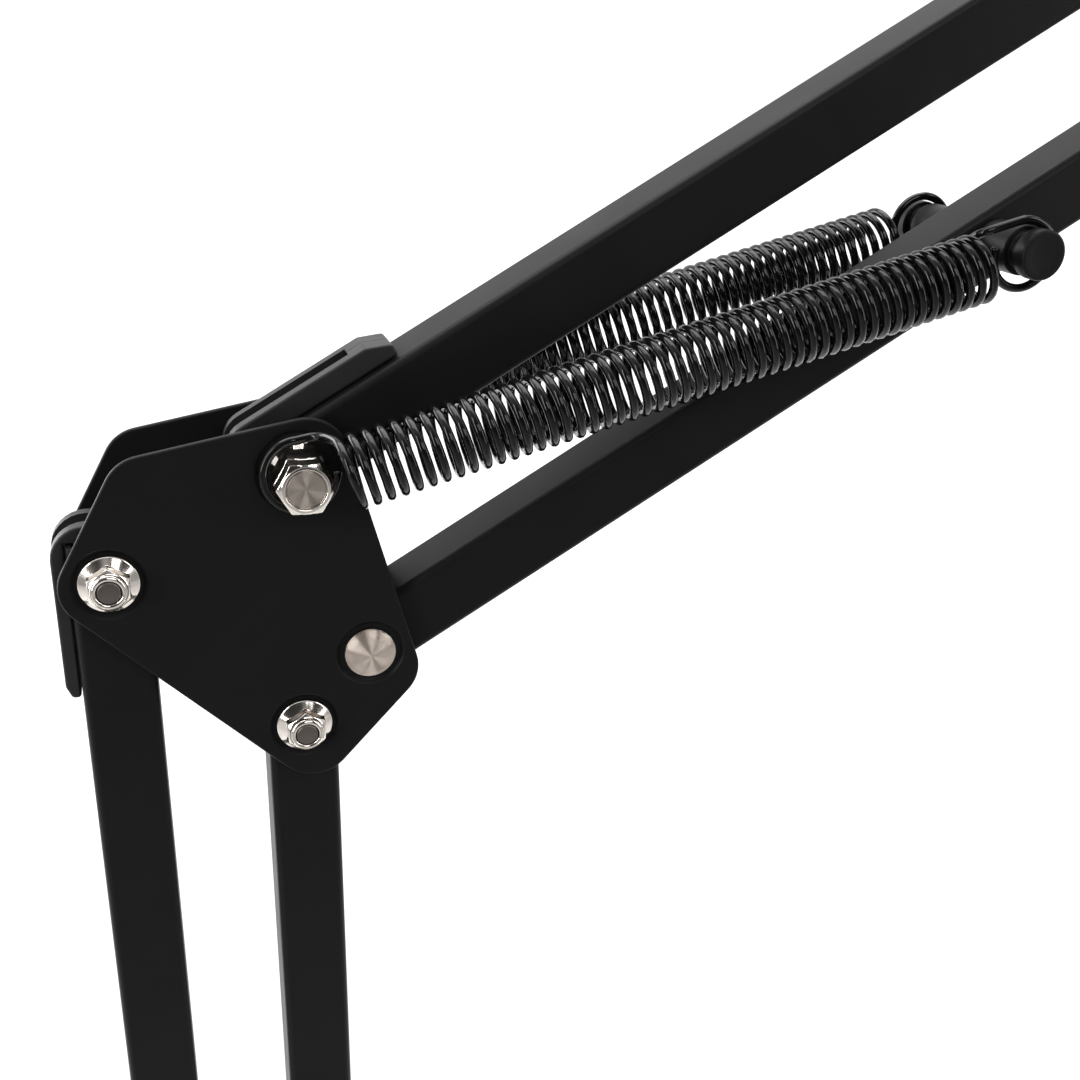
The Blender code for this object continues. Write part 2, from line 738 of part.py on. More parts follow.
def pressed_pad(floor):
    """The profile that a dimple adds on a plate's inner side."""
    rim = floor + DIMPLE_SLOPE
    skin = PLATE_INNER + PLATE_THICK / 3
    foot = PLATE_INNER - DISH
    return [(0, skin), (rim, skin), (rim, PLATE_INNER), (floor, foot), (0, foot)]


def pressed_bowl(floor):
    """The profile that a dimple takes from a plate's outer side."""
    mouth = PLATE_OUTER + DISH
    foot = PLATE_OUTER - DISH
    return [(0, mouth), (floor + 2 * DIMPLE_SLOPE, mouth), (floor, foot), (0, foot)]


def dished_plate(name, corners, pivots, holes, side, origin):
    """A side plate, pressed in round each pivot so that its dimple bears on the bar."""
    loops = [rounded(corners)]
    loops += [circle(point.x, point.z, radius + GAP, BORE_STEPS) for point, radius in holes]
    plate = sheet(name, loops, PLATE_THICK, side * (PLATE_INNER + PLATE_THICK / 2), BLACK_COAT)
    plate.data.transform(Matrix.Translation(-origin))
    plate.location = origin
    pads = []
    bowls = []
    bores = []
    for point, radius, floor in pivots:
        place = facing(point, side)
        pads.append(turned("pad", pressed_pad(floor), place, BLACK_COAT))
        bowls.append(turned("bowl", pressed_bowl(floor), place, BLACK_COAT))
        bores.append(rod("bore", place, radius + GAP, 0, 2 * PLATE_OUTER, BLACK_COAT, BORE_STEPS))
    add(plate, pads)
    cut(plate, bowls)
    cut(plate, bores)
    smooth(plate)


def near(pivot, x, z, radius=PLATE_CORNER):
    """A plate's corner, placed from the pivot that it stands round."""
    return (pivot.x + x, pivot.z + z, radius)


# The desk clamp


def lock_frame():
    """Local Z runs out of the socket's side along the lock screw, away from the jaw tips."""
    return Matrix.Translation((0, 0, LOCK_HEIGHT)) @ Matrix.Rotation(-math.pi / 2, 4, "Y")


def clamp():
    inner = -CLAMP_THROAT
    outer = inner - CLAMP_SPINE
    face = JAW_PAD_THICK + GAP
    foot = CLAMP_FLOOR - LOWER_JAW_THICK
    outline = rounded([
        (UPPER_JAW_TIP, CLAMP_TOP, 0.004),
        (outer, CLAMP_TOP, 0.008),
        (outer, foot, 0.008),
        (LOWER_JAW_TIP, foot, 0.005),
        (LOWER_JAW_TIP, CLAMP_FLOOR, 0.003),
        (inner, CLAMP_FLOOR, 0.004),
        (inner, face, 0.003),
        (UPPER_JAW_TIP, face, 0.002),
    ])
    frame = sheet("clamp_frame", [outline], CLAMP_WIDTH, 0, BLACK_COAT)
    bevel(frame, CLAMP_EDGE)
    boss_foot = CLAMP_TOP - UPPER_JAW_THICK / 2
    boss = [
        (0, SOCKET_TOP),
        (SOCKET_RADIUS - TURNED_EDGE, SOCKET_TOP),
        (SOCKET_RADIUS, SOCKET_TOP - TURNED_EDGE),
        (SOCKET_RADIUS, CLAMP_TOP + 2 * TURNED_EDGE),
        (SOCKET_RADIUS - TURNED_EDGE, boss_foot),
        (0, boss_foot),
    ]
    add(frame, [turned("boss", boss, UPRIGHT, BLACK_COAT, FINE_STEPS)])
    floor = CLAMP_TOP + SOCKET_FLOOR
    cut(frame, [
        rod("socket", UPRIGHT, SOCKET_BORE, floor, 2 * SOCKET_TOP, BLACK_COAT, FINE_STEPS),
        rod("tapping", UPRIGHT, SCREW_RADIUS + GAP, foot - CLAMP_EDGE, CLAMP_FLOOR + CLAMP_EDGE, BLACK_COAT),
    ])
    hole = LOCK_SCREW_RADIUS + GAP
    cut(frame, [rod("side_hole", lock_frame(), hole, SOCKET_BORE / 2, 2 * SOCKET_RADIUS, NYLON)])
    smooth(frame)
    half = JAW_PAD_LENGTH / 2
    width = CLAMP_WIDTH / 2 - CLAMP_EDGE
    pad = block("jaw_pad", (-half, -width, 0), (half, width, JAW_PAD_THICK), UPRIGHT, RUBBER)
    bevel(pad, MOULD_EDGE)
    sleeve = SPIGOT_RADIUS + RUNNING
    flange_foot = SOCKET_TOP + GAP
    bush = [
        (sleeve, flange_foot + BUSH_FLANGE),
        (BUSH_FLANGE_RADIUS, flange_foot + BUSH_FLANGE),
        (BUSH_FLANGE_RADIUS, flange_foot),
        (sleeve + BUSH_WALL, flange_foot),
        (sleeve + BUSH_WALL, floor + GAP),
        (sleeve, floor + GAP),
    ]
    liner = turned("socket_bush", bush, UPRIGHT, NYLON, FINE_STEPS)
    cut(liner, [rod("bush_hole", lock_frame(), hole, 0, 2 * SOCKET_RADIUS, NYLON)])
    solid(liner)


def lobed_knob(name, place, radius, thick, stand, bore):
    """A moulded knob with finger hollows, a round hub below and a blind bore for its screw."""
    count = 4 * KNOB_LOBES
    hub = radius * KNOB_HUB_SHARE
    rings = [
        ring(bore, stand + KNOB_BITE, count),
        ring(bore, stand, count),
        ring(hub, stand, count),
        ring(hub, stand + thick * 0.25, count),
        lobes(radius * 0.94, 0.16, stand + thick * 0.25),
        lobes(radius, 0.2, stand + thick * 0.4),
        lobes(radius, 0.2, stand + thick * 0.85),
        lobes(radius * 0.86, 0.12, stand + thick),
    ]
    smooth(lofted(name, rings, place, NYLON))


def lock_knob():
    tip = SPIGOT_GROOVE_RADIUS + RUNNING
    end = LOCK_KNOB_STAND + KNOB_BITE - GAP
    solid(rod("lock_screw", lock_frame(), LOCK_SCREW_RADIUS, tip, end, NICKEL, 12))
    bore = LOCK_SCREW_RADIUS + GAP
    lobed_knob("lock_knob", lock_frame(), LOCK_KNOB_RADIUS, LOCK_KNOB_THICK, LOCK_KNOB_STAND, bore)


def clamp_screw():
    top = -DISC_DEPTH
    rubber = [
        (0, top),
        (DISC_RADIUS - MOULD_EDGE, top),
        (DISC_RADIUS, top - MOULD_EDGE),
        (DISC_RADIUS, top - DISC_RUBBER),
        (0, top - DISC_RUBBER),
    ]
    solid(turned("pressure_rubber", rubber, UPRIGHT, RUBBER, FINE_STEPS))
    plate_top = top - DISC_RUBBER - GAP
    plate_foot = plate_top - DISC_THICK
    foot = plate_foot - DISC_COLLAR_HEIGHT
    lip = foot + DISC_LIP
    disc = [
        (0, plate_top),
        (DISC_RADIUS - TURNED_EDGE, plate_top),
        (DISC_RADIUS, plate_top - TURNED_EDGE),
        (DISC_RADIUS, plate_foot + TURNED_EDGE),
        (DISC_RADIUS - 2 * TURNED_EDGE, plate_foot),
        (DISC_COLLAR_RADIUS, plate_foot),
        (DISC_COLLAR_RADIUS - TURNED_EDGE, foot),
        (SCREW_NECK + GAP, foot),
        (SCREW_NECK + GAP, lip),
        (SCREW_RADIUS + GAP, lip),
        (SCREW_RADIUS + GAP, plate_foot),
        (0, plate_foot),
    ]
    solid(turned("pressure_disc", disc, UPRIGHT, NICKEL, FINE_STEPS))
    hub_top = CLAMP_FLOOR - LOWER_JAW_THICK - SCREW_TRAVEL - 2 * GAP
    hub_foot = hub_top - SCREW_HUB_HEIGHT
    screw = [
        (0, plate_foot - GAP),
        (SCREW_RADIUS - TURNED_EDGE, plate_foot - GAP),
        (SCREW_RADIUS, plate_foot - GAP - TURNED_EDGE),
        (SCREW_RADIUS, lip + GAP),
        (SCREW_NECK, lip + GAP),
        (SCREW_NECK, foot - GAP),
        (SCREW_RADIUS, foot - GAP - TURNED_EDGE),
        (SCREW_RADIUS, hub_top),
        (SCREW_HUB_RADIUS - TURNED_EDGE, hub_top),
        (SCREW_HUB_RADIUS, hub_top - TURNED_EDGE),
        (SCREW_HUB_RADIUS, hub_foot + TURNED_EDGE),
        (SCREW_HUB_RADIUS - TURNED_EDGE, hub_foot),
        (0, hub_foot),
    ]
    middle = Vector((0, 0, (hub_top + hub_foot) / 2))
    across = facing(middle, FRONT)
    piece = turned("clamp_screw", screw, UPRIGHT, NICKEL)
    reach = 2 * SCREW_HUB_RADIUS
    cut(piece, [rod("handle_hole", across, HANDLE_RADIUS + GAP, -reach, reach, NICKEL, 12)])
    solid(piece)
    radius = HANDLE_BALL_RADIUS
    foot = HANDLE_HALF
    ball = [
        (0, foot + HANDLE_BALL_LENGTH),
        (radius * 0.6, foot + HANDLE_BALL_LENGTH * 0.93),
        (radius, foot + HANDLE_BALL_LENGTH * 0.65),
        (radius, foot + HANDLE_BALL_LENGTH * 0.3),
        (radius * 0.8, foot),
        (HANDLE_RADIUS, foot),
    ]
    profile = ball + [(width, -height) for width, height in reversed(ball)]
    solid(turned("clamp_handle", profile, across, NICKEL))


# The swivelling base


def base():
    groove_top = LOCK_HEIGHT + SPIGOT_GROOVE_WIDTH / 2
    groove_foot = LOCK_HEIGHT - SPIGOT_GROOVE_WIDTH / 2
    spigot_foot = CLAMP_TOP + SOCKET_FLOOR + 2 * GAP
    spigot = [
        (0, BLOCK_TOP),
        (SPIGOT_TENON, BLOCK_TOP),
        (SPIGOT_TENON, BLOCK_BOTTOM - GAP),
        (SPIGOT_RADIUS, BLOCK_BOTTOM - GAP),
        (SPIGOT_RADIUS, groove_top),
        (SPIGOT_GROOVE_RADIUS, groove_top),
        (SPIGOT_GROOVE_RADIUS, groove_foot),
        (SPIGOT_RADIUS, groove_foot),
        (SPIGOT_RADIUS, spigot_foot + TURNED_EDGE),
        (SPIGOT_RADIUS - TURNED_EDGE, spigot_foot),
        (0, spigot_foot),
    ]
    solid(turned("base_spigot", spigot, UPRIGHT, NICKEL))
    width = PLATE_INNER - GAP
    low = (-BLOCK_HALF, -width, BLOCK_BOTTOM)
    high = (BLOCK_HALF, width, BLOCK_TOP)
    swivel = block("base_block", low, high, UPRIGHT, BLACK_COAT)
    bevel(swivel, TURNED_EDGE)
    pin_height = (BLOCK_BOTTOM + BLOCK_TOP) / 2
    pins = [Vector((x, 0, pin_height)) for x in (-BLOCK_PIN_PLACE, BLOCK_PIN_PLACE)]
    pin_seat = PLATE_OUTER + GAP
    pin_head = [
        (0, pin_seat + BLOCK_PIN_RISE),
        (BLOCK_PIN_HEAD, pin_seat + BLOCK_PIN_RISE * 0.25),
        (BLOCK_PIN_HEAD, pin_seat),
        (BLOCK_PIN_RADIUS, pin_seat),
    ]
    pin = pin_head + [(radius, -height) for radius, height in reversed(pin_head)]
    add(swivel, [turned("pin", pin, facing(at, FRONT), BLACK_COAT, BORE_STEPS) for at in pins])
    cut(swivel, [rod("tenon_hole", UPRIGHT, SPIGOT_TENON + GAP, 0, 2 * BLOCK_TOP, NYLON)])
    smooth(swivel)
    corners = [
        (-BLOCK_HALF, BLOCK_BOTTOM, 0.003),
        (BLOCK_HALF, BLOCK_BOTTOM, 0.003),
        near(BASE_RIGHT, 0.0125, -0.0030),
        near(BASE_RIGHT, 0.0045, 0.0125),
        near(BASE_LEFT, 0.0065, 0.0130),
        near(BASE_LEFT, -0.0130, 0.0070),
    ]
    pivots = [(BASE_LEFT, SPRING_BOLT_RADIUS, LOOP_FLOOR), (BASE_RIGHT, BOLT_RADIUS, NUT_FLOOR)]
    pin_holes = [(at, BLOCK_PIN_RADIUS) for at in pins]
    for label, side in SIDES:
        name = f"base_plate_{label}"
        dished_plate(name, corners, pivots, pin_holes, side, Vector((0, 0, BLOCK_BOTTOM)))
    spring_bolt("base", BASE_LEFT)
    through = SEAT + NUT_HEIGHT + BOLT_END
    rear = facing(BASE_RIGHT, REAR)
    smooth(bolt("base_bolt", rear, BOLT_RADIUS, BOLT_HEAD_FLATS, BOLT_HEAD_THICK, SEAT, -through))
    smooth(flange_nut("base_nut", facing(BASE_RIGHT, FRONT)))


# The elbow, the arms and the head


def elbow():
    corners = [
        near(ELBOW_LEFT, -0.01165, -0.00230),
        near(ELBOW_RIGHT, 0.00215, -0.01635),
        near(ELBOW_BOTTOM, 0.01150, -0.00660),
        near(ELBOW_TOP, 0.00782, 0.01211),
        near(ELBOW_LEFT, 0.00330, 0.02500),
    ]
    pivots = [(point, BOLT_RADIUS, NUT_FLOOR) for point in (ELBOW_LEFT, ELBOW_RIGHT, ELBOW_BOTTOM)]
    pivots.append((ELBOW_TOP, SPRING_BOLT_RADIUS, LOOP_FLOOR))
    for label, side in SIDES:
        dished_plate(f"elbow_plate_{label}", corners, pivots, [], side, ELBOW_LEFT)
    through = SEAT + NUT_HEIGHT + BOLT_END
    for label, pivot in (("left", ELBOW_LEFT), ("right", ELBOW_RIGHT)):
        rear = facing(pivot, REAR)
        name = "elbow_bolt_" + label
        smooth(bolt(name, rear, BOLT_RADIUS, BOLT_HEAD_FLATS, BOLT_HEAD_THICK, SEAT, -through))
        smooth(flange_nut("elbow_nut_" + label, facing(pivot, FRONT)))
    rivet("elbow_rivet", ELBOW_BOTTOM)
    spring_bolt("elbow", ELBOW_TOP)


def arms():
    bar("lower_bar_left", BASE_LEFT, UP, SPRING_BOLT_RADIUS)
    bar("lower_bar_right", BASE_RIGHT, UP, BOLT_RADIUS, LOWER_POST)
    bar("upper_bar_top", ELBOW_TOP, UPPER_WAY, SPRING_BOLT_RADIUS)
    bar("upper_bar_bottom", ELBOW_BOTTOM, UPPER_WAY, BOLT_RADIUS, UPPER_POST)
    lower_rail = (LOWER_GUIDE_RISE, LOWER_GUIDE_END, LOWER_GUIDE_TAPER)
    upper_rail = (UPPER_GUIDE_RISE, UPPER_GUIDE_END, UPPER_GUIDE_TAPER)
    guide("lower_bar_guide", ELBOW_LEFT, -UP, -1, *lower_rail, BOLT_RADIUS)
    guide("upper_bar_guide", ELBOW_TOP, UPPER_WAY, 1, *upper_rail, SPRING_BOLT_RADIUS)
    plug("lower_left_plug", BASE_LEFT, UP, SPRING_BOLT_RADIUS)
    plug("lower_right_plug_foot", BASE_RIGHT, UP, BOLT_RADIUS)
    plug("lower_right_plug_top", ELBOW_RIGHT, -UP, BOLT_RADIUS)
    plug("upper_top_plug", HEAD_TOP, -UPPER_WAY, BOLT_RADIUS)
    plug("upper_bottom_plug_near", ELBOW_BOTTOM, UPPER_WAY, BOLT_RADIUS)
    plug("upper_bottom_plug_far", HEAD_BOTTOM, -UPPER_WAY, BOLT_RADIUS)
    post("lower_spring_post", LOWER_POST)
    post("upper_spring_post", UPPER_POST)
    for label, side in SIDES:
        spring("lower", label, side, BASE_LEFT, LOWER_POST, curled=False)
        spring("upper", label, side, ELBOW_TOP, UPPER_POST, curled=True)


def head():
    corners = [
        near(HEAD_BOTTOM, -0.0105, -0.0035),
        near(HEAD_BOTTOM, 0.0050, -0.0125),
        near(HEAD_TILT, 0.0125, -0.0060),
        near(HEAD_TILT, 0.0085, 0.0115),
        near(HEAD_TOP, 0.0025, 0.0125),
        near(HEAD_TOP, -0.0120, 0.0035),
    ]
    pivots = [(HEAD_TOP, BOLT_RADIUS, NUT_FLOOR), (HEAD_BOTTOM, BOLT_RADIUS, NUT_FLOOR)]
    pivots.append((HEAD_TILT, TILT_BOLT_RADIUS, KNOB_FLOOR))
    for label, side in SIDES:
        dished_plate(f"head_plate_{label}", corners, pivots, [], side, HEAD_TOP)
    rivet("head_rivet_top", HEAD_TOP)
    rivet("head_rivet_bottom", HEAD_BOTTOM)
    stand = SEAT + GAP
    bore = TILT_BOLT_RADIUS + GAP
    end = -(stand + KNOB_BITE - GAP)
    rear = facing(HEAD_TILT, REAR)
    smooth(bolt("tilt_bolt", rear, TILT_BOLT_RADIUS, SPRING_BOLT_FLATS, BOLT_HEAD_THICK, SEAT, end))
    lobed_knob("tilt_knob", facing(HEAD_TILT, FRONT), TILT_KNOB_RADIUS, TILT_KNOB_THICK, stand, bore)


def tongue():
    width = 2 * (PLATE_INNER - DISH - GAP)
    outline = []
    mouth = math.asin(TONGUE_NECK / TONGUE_RADIUS)
    for step in range(15):
        angle = mouth + (2 * math.pi - 2 * mouth) * step / 14
        outline.append((TONGUE_RADIUS * math.cos(angle), TONGUE_RADIUS * math.sin(angle)))
    outline += [(TONGUE_REACH, -TONGUE_NECK), (TONGUE_REACH, TONGUE_NECK)]
    piece = sheet("mic_tongue", [outline, circle(0, 0, TILT_BOLT_RADIUS + RUNNING, 12)], width, 0, NICKEL)
    piece.matrix_world = along(HEAD_TILT, RIGHT)
    bevel(piece, TURNED_EDGE)
    reach = along(HEAD_TILT, RIGHT) @ Matrix.Rotation(math.pi / 2, 4, "Y")
    depth = TONGUE_REACH - STUD_TENON_DEPTH
    cut(piece, [rod("stud_hole", reach, STUD_TENON + GAP, depth - GAP, 2 * TONGUE_REACH, NICKEL)])
    smooth(piece)
    flange = TONGUE_REACH + GAP
    face = flange + STUD_FLANGE
    stud = [
        (0, face + STUD_LENGTH),
        (STUD_RADIUS - TURNED_EDGE, face + STUD_LENGTH),
        (STUD_RADIUS, face + STUD_LENGTH - TURNED_EDGE),
        (STUD_RADIUS, face),
        (STUD_FLANGE_RADIUS, face),
        (STUD_FLANGE_RADIUS, flange),
        (STUD_TENON, flange),
        (STUD_TENON, depth),
        (0, depth),
    ]
    solid(turned("mic_stud", stud, reach, NICKEL, FINE_STEPS))
    foot = face + GAP
    adapter = [
        (STUD_RADIUS + GAP, foot + ADAPTER_LENGTH),
        (ADAPTER_RADIUS - TURNED_EDGE, foot + ADAPTER_LENGTH),
        (ADAPTER_RADIUS, foot + ADAPTER_LENGTH - TURNED_EDGE),
        (ADAPTER_RADIUS, foot),
        (STUD_RADIUS + GAP, foot),
    ]
    solid(turned("thread_adapter", adapter, reach, NICKEL, FINE_STEPS))


clamp()
lock_knob()
clamp_screw()
base()
elbow()
arms()
head()
tongue()

# Each moving body hangs on an empty that stands on its joint's axis
BODIES = {
    "base_axis": (Vector((0, 0, BLOCK_BOTTOM)), ["base_"]),
    "lock_axis": (Vector((0, 0, LOCK_HEIGHT)), ["lock_"]),
    "clamp_screw_axis": (Vector((0, 0, -DISC_DEPTH)), ["clamp_screw", "clamp_handle", "pressure_"]),
    "lower_left_axis": (BASE_LEFT, ["lower_bar_left", "lower_left_plug", "lower_bar_guide"]),
    "lower_right_axis": (BASE_RIGHT, ["lower_bar_right", "lower_right_plug", "lower_spring_post"]),
    "lower_spring_axis": (BASE_LEFT, ["lower_spring_coil", "lower_spring_hook"]),
    "elbow_axis": (ELBOW_LEFT, ["elbow_"]),
    "upper_top_axis": (ELBOW_TOP, ["upper_bar_top", "upper_top_plug", "upper_bar_guide"]),
    "upper_bottom_axis": (ELBOW_BOTTOM, ["upper_bar_bottom", "upper_bottom_plug", "upper_spring_post"]),
    "upper_spring_axis": (ELBOW_TOP, ["upper_spring_coil", "upper_spring_hook"]),
    "head_axis": (HEAD_TOP, ["head_", "tilt_bolt"]),
    "tilt_knob_axis": (HEAD_TILT, ["tilt_knob"]),
    "tongue_axis": (HEAD_TILT, ["mic_", "thread_adapter"]),
}
for axis_name, (place, starts) in BODIES.items():
    axis = bpy.data.objects.new(axis_name, None)
    parts.objects.link(axis)
    axis.location = place
    bpy.context.view_layer.update()
    for piece in parts.objects:
        if piece.type == "MESH" and piece.name.startswith(tuple(starts)):
            piece.parent = axis
            piece.matrix_parent_inverse = axis.matrix_world.inverted()
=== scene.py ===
"""A sprung two-section microphone boom arm on its desk clamp, seen close up at the elbow."""
import json
import math

import bmesh
import bpy
from mathutils import Matrix, Vector
from mathutils.geometry import tessellate_polygon


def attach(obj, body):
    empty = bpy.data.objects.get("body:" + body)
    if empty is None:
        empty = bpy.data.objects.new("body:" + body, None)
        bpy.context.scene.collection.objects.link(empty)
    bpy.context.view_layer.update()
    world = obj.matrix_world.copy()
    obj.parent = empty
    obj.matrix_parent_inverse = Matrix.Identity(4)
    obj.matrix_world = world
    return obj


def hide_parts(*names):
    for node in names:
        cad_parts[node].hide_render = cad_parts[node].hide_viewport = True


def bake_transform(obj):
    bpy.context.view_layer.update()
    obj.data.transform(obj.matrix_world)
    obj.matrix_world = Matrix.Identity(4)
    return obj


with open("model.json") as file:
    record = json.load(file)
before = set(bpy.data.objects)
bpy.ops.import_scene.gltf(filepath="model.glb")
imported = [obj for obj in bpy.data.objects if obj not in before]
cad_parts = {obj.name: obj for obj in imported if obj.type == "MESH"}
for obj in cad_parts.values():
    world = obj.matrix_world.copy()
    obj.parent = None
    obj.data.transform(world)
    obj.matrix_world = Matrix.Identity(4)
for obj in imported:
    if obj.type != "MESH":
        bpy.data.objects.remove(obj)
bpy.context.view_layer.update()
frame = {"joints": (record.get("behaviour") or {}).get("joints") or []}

# The desk clamp's frame: one C-shaped steel forging, 26 mm wide, with a socket boss on its
# upper jaw and a tapped hole through its lower one. It is blasted and powder coated black.
jaw_top, jaw_face, jaw_floor, jaw_foot = 0.0123, 0.0023, -0.0557, -0.0677
spine_in, spine_out = -0.025, -0.036
upper_tip, lower_tip = 0.024, 0.013
clamp_width = 0.026
socket_top, socket_radius, socket_bore = 0.0403, 0.013, 0.00765
socket_fillet = 0.0022
lock_height, lock_bore = 0.0263, 0.0028
screw_radius, screw_room = 0.004, 0.0003


def eased(corners, radius, steps, closed=True):
    """Points through corners, each turned by an arc where there is room for it."""
    points = []
    last = len(corners) - 1
    for i, corner in enumerate(corners):
        here = Vector(corner[:2])
        back = Vector(corners[i - 1][:2]) - here
        ahead = Vector(corners[(i + 1) % len(corners)][:2]) - here
        bend = corner[2] if len(corner) > 2 else radius
        if bend <= 0 or (not closed and i in (0, last)) or back.angle(ahead) > math.radians(178):
            points.append(here)
            continue
        half = back.angle(ahead) / 2
        reach = min(bend / math.tan(half), 0.48 * back.length, 0.48 * ahead.length)
        back.normalize()
        ahead.normalize()
        centre = here + (back + ahead).normalized() * (reach / math.cos(half))
        start = here + back * reach - centre
        end = here + ahead * reach - centre
        sweep = -start.angle_signed(end)
        turns = [Matrix.Rotation(sweep * step / steps, 2) for step in range(steps + 1)]
        points += [centre + turn @ start for turn in turns]
    return points


def mesh_of(work):
    """The finished mesh of a drawing, with its faces turned outwards."""
    bmesh.ops.recalc_face_normals(work, faces=work.faces)
    mesh = bpy.data.meshes.new("shape")
    work.to_mesh(mesh)
    work.free()
    return mesh


def skinned(rings, looped=False):
    """A skin over rings of points. A ring of one point is a pole, and the ends are closed."""
    work = bmesh.new()
    rows = [[work.verts.new(point) for point in ring] for ring in rings]
    pairs = list(zip(rows, rows[1:]))
    if looped:
        pairs.append((rows[-1], rows[0]))
    for low, high in pairs:
        count = max(len(low), len(high))
        for i in range(count):
            j = (i + 1) % count
            corners = [low[i % len(low)], low[j % len(low)]]
            corners += [high[j % len(high)], high[i % len(high)]]
            corners = list(dict.fromkeys(corners))
            if len(corners) > 2:
                work.faces.new(corners)
    for row in (rows[0], rows[-1]):
        if not looped and len(row) > 2:
            work.faces.new(row)
    return mesh_of(work)


def walls(work, rings):
    """Faces between rings of as many points each. Gives the points of the two open ends."""
    rows = [[work.verts.new(point) for point in ring] for ring in rings]
    for upper, lower in zip(rows, rows[1:]):
        for i in range(len(upper)):
            j = (i + 1) % len(upper)
            work.faces.new((upper[i], upper[j], lower[j], lower[i]))
    return rows[0], rows[-1]


def ring_of(radius, height, steps):
    """The points of a level circle."""
    turns = [i * (2 * math.pi / steps) for i in range(steps)]
    return [(radius * math.cos(turn), radius * math.sin(turn), height) for turn in turns]


def circles(rows, base=0, steps=96):
    """Level circles from (radius, height) rows above a base."""
    return [ring_of(radius, base + height, steps) for radius, height in rows]


on_axis = 1e-7


def lathed(profile, steps=64):
    """A shape turned about Z from (radius, height) pairs, or a ring if it starts off the axis."""
    rings = []
    for radius, height in profile:
        rings.append(ring_of(radius, height, steps) if radius > on_axis else [(0, 0, height)])
    return skinned(rings, looped=profile[0][0] > on_axis)


def turned(corners, edge, steps=64):
    """A lathed shape whose corners are broken by a small radius, down its outer side."""
    return lathed(eased(corners, edge, 3, closed=corners[0][0] > on_axis), steps)


def wound(loop, forwards):
    """The loop, running anticlockwise where forwards is true and clockwise where it isn't."""
    area = sum(a.x * b.y - b.x * a.y for a, b in zip(loop, loop[1:] + loop[:1]))
    return loop if (area > 0) == forwards else loop[::-1]


def inset(loop, depth):
    """The loop moved to the left of its way round by a depth."""
    narrower = []
    for i, here in enumerate(loop):
        before = (here - loop[i - 1]).normalized()
        after = (loop[(i + 1) % len(loop)] - here).normalized()
        side = Vector((-(before.y + after.y), before.x + after.x))
        narrower.append(here + side * (2 * depth / side.length_squared))
    return narrower


def slab(loops, low, high, edge, wells=(), steps=3):
    """A flat shape from an outline and its holes, with rounded edges. A well is (centre, rows of
    radius and height) and runs from the upper face to the lower one."""
    work = bmesh.new()
    tops, foots = [], []
    turns = [math.pi / 2 * step / steps for step in range(steps + 1)] if edge else [0]
    for number, loop in enumerate(loops):
        points = wound([Vector(point[:2]) for point in loop], number == 0)
        rows = [(edge * (1 - math.sin(turn)), high - edge * (1 - math.cos(turn))) for turn in turns]
        rows += [(depth, low + high - height) for depth, height in reversed(rows)]
        rings = [[(p.x, p.y, height) for p in inset(points, depth)] for depth, height in rows]
        top, foot = walls(work, rings)
        tops.append(top)
        foots.append(foot)
    for (x, y), rows in wells:
        bored = circles(rows, steps=48)
        top, foot = walls(work, [[(x + a, y + b, c) for a, b, c in circle] for circle in bored])
        tops.append(top)
        foots.append(foot)
    for loops_of_face in (tops, foots):
        flat = [vert for ring in loops_of_face for vert in ring]
        for triple in tessellate_polygon([[vert.co for vert in ring] for ring in loops_of_face]):
            work.faces.new([flat[i] for i in triple])
    return mesh_of(work)


def tuned(node, **values):
    """A shader node with its inputs set by name, where an underscore stands for a space."""
    for name, value in values.items():
        node.inputs[name.replace("_", " ")].default_value = value
    return node


def paint(name, slot, colour, metallic, roughness):
    """A new finish, with its shader and its links, for the record's material slot."""
    finish = bpy.data.materials.new(name)
    finish.use_nodes = True
    finish["slot"] = slot
    shader = tuned(finish.node_tree.nodes["Principled BSDF"],
                   Base_Color=(*colour, 1), Metallic=metallic, Roughness=roughness)
    return finish, finish.node_tree, shader


def speckle(tree, size, detail):
    """Noise of a real size in metres over the piece's own frame."""
    place = tree.nodes.new("ShaderNodeTexCoord")
    noise = tuned(tree.nodes.new("ShaderNodeTexNoise"), Scale=1 / size, Detail=detail)
    tree.links.new(place.outputs["Object"], noise.inputs["Vector"])
    return noise.outputs["Fac"]


def spread(tree, value, low, high, low_in=0.3, high_in=0.7):
    """A value laid out between two numbers."""
    reach = tuned(tree.nodes.new("ShaderNodeMapRange"),
                  From_Min=low_in, From_Max=high_in, To_Min=low, To_Max=high)
    tree.links.new(value, reach.inputs["Value"])
    return reach.outputs["Result"]


def shades(tree, value, dark, light):
    """A colour between two others, by a value."""
    mix = tree.nodes.new("ShaderNodeMix")
    mix.data_type = "RGBA"
    tuned(mix, A=(*dark, 1), B=(*light, 1))
    tree.links.new(value, mix.inputs["Factor"])
    return mix.outputs["Result"]


def relief(tree, shader, value, height):
    """Fine surface relief of a real height in metres, over any relief that is there already."""
    bump = tuned(tree.nodes.new("ShaderNodeBump"), Distance=height)
    tree.links.new(value, bump.inputs["Height"])
    if shader.inputs["Normal"].is_linked:
        tree.links.new(shader.inputs["Normal"].links[0].from_socket, bump.inputs["Normal"])
    tree.links.new(bump.outputs["Normal"], shader.inputs["Normal"])


def drifting(tree, shader, value, dark, light, low, high):
    """A colour and a roughness that drift over the piece, by a value."""
    tree.links.new(shades(tree, value, dark, light), shader.inputs["Base Color"])
    tree.links.new(spread(tree, value, low, high), shader.inputs["Roughness"])


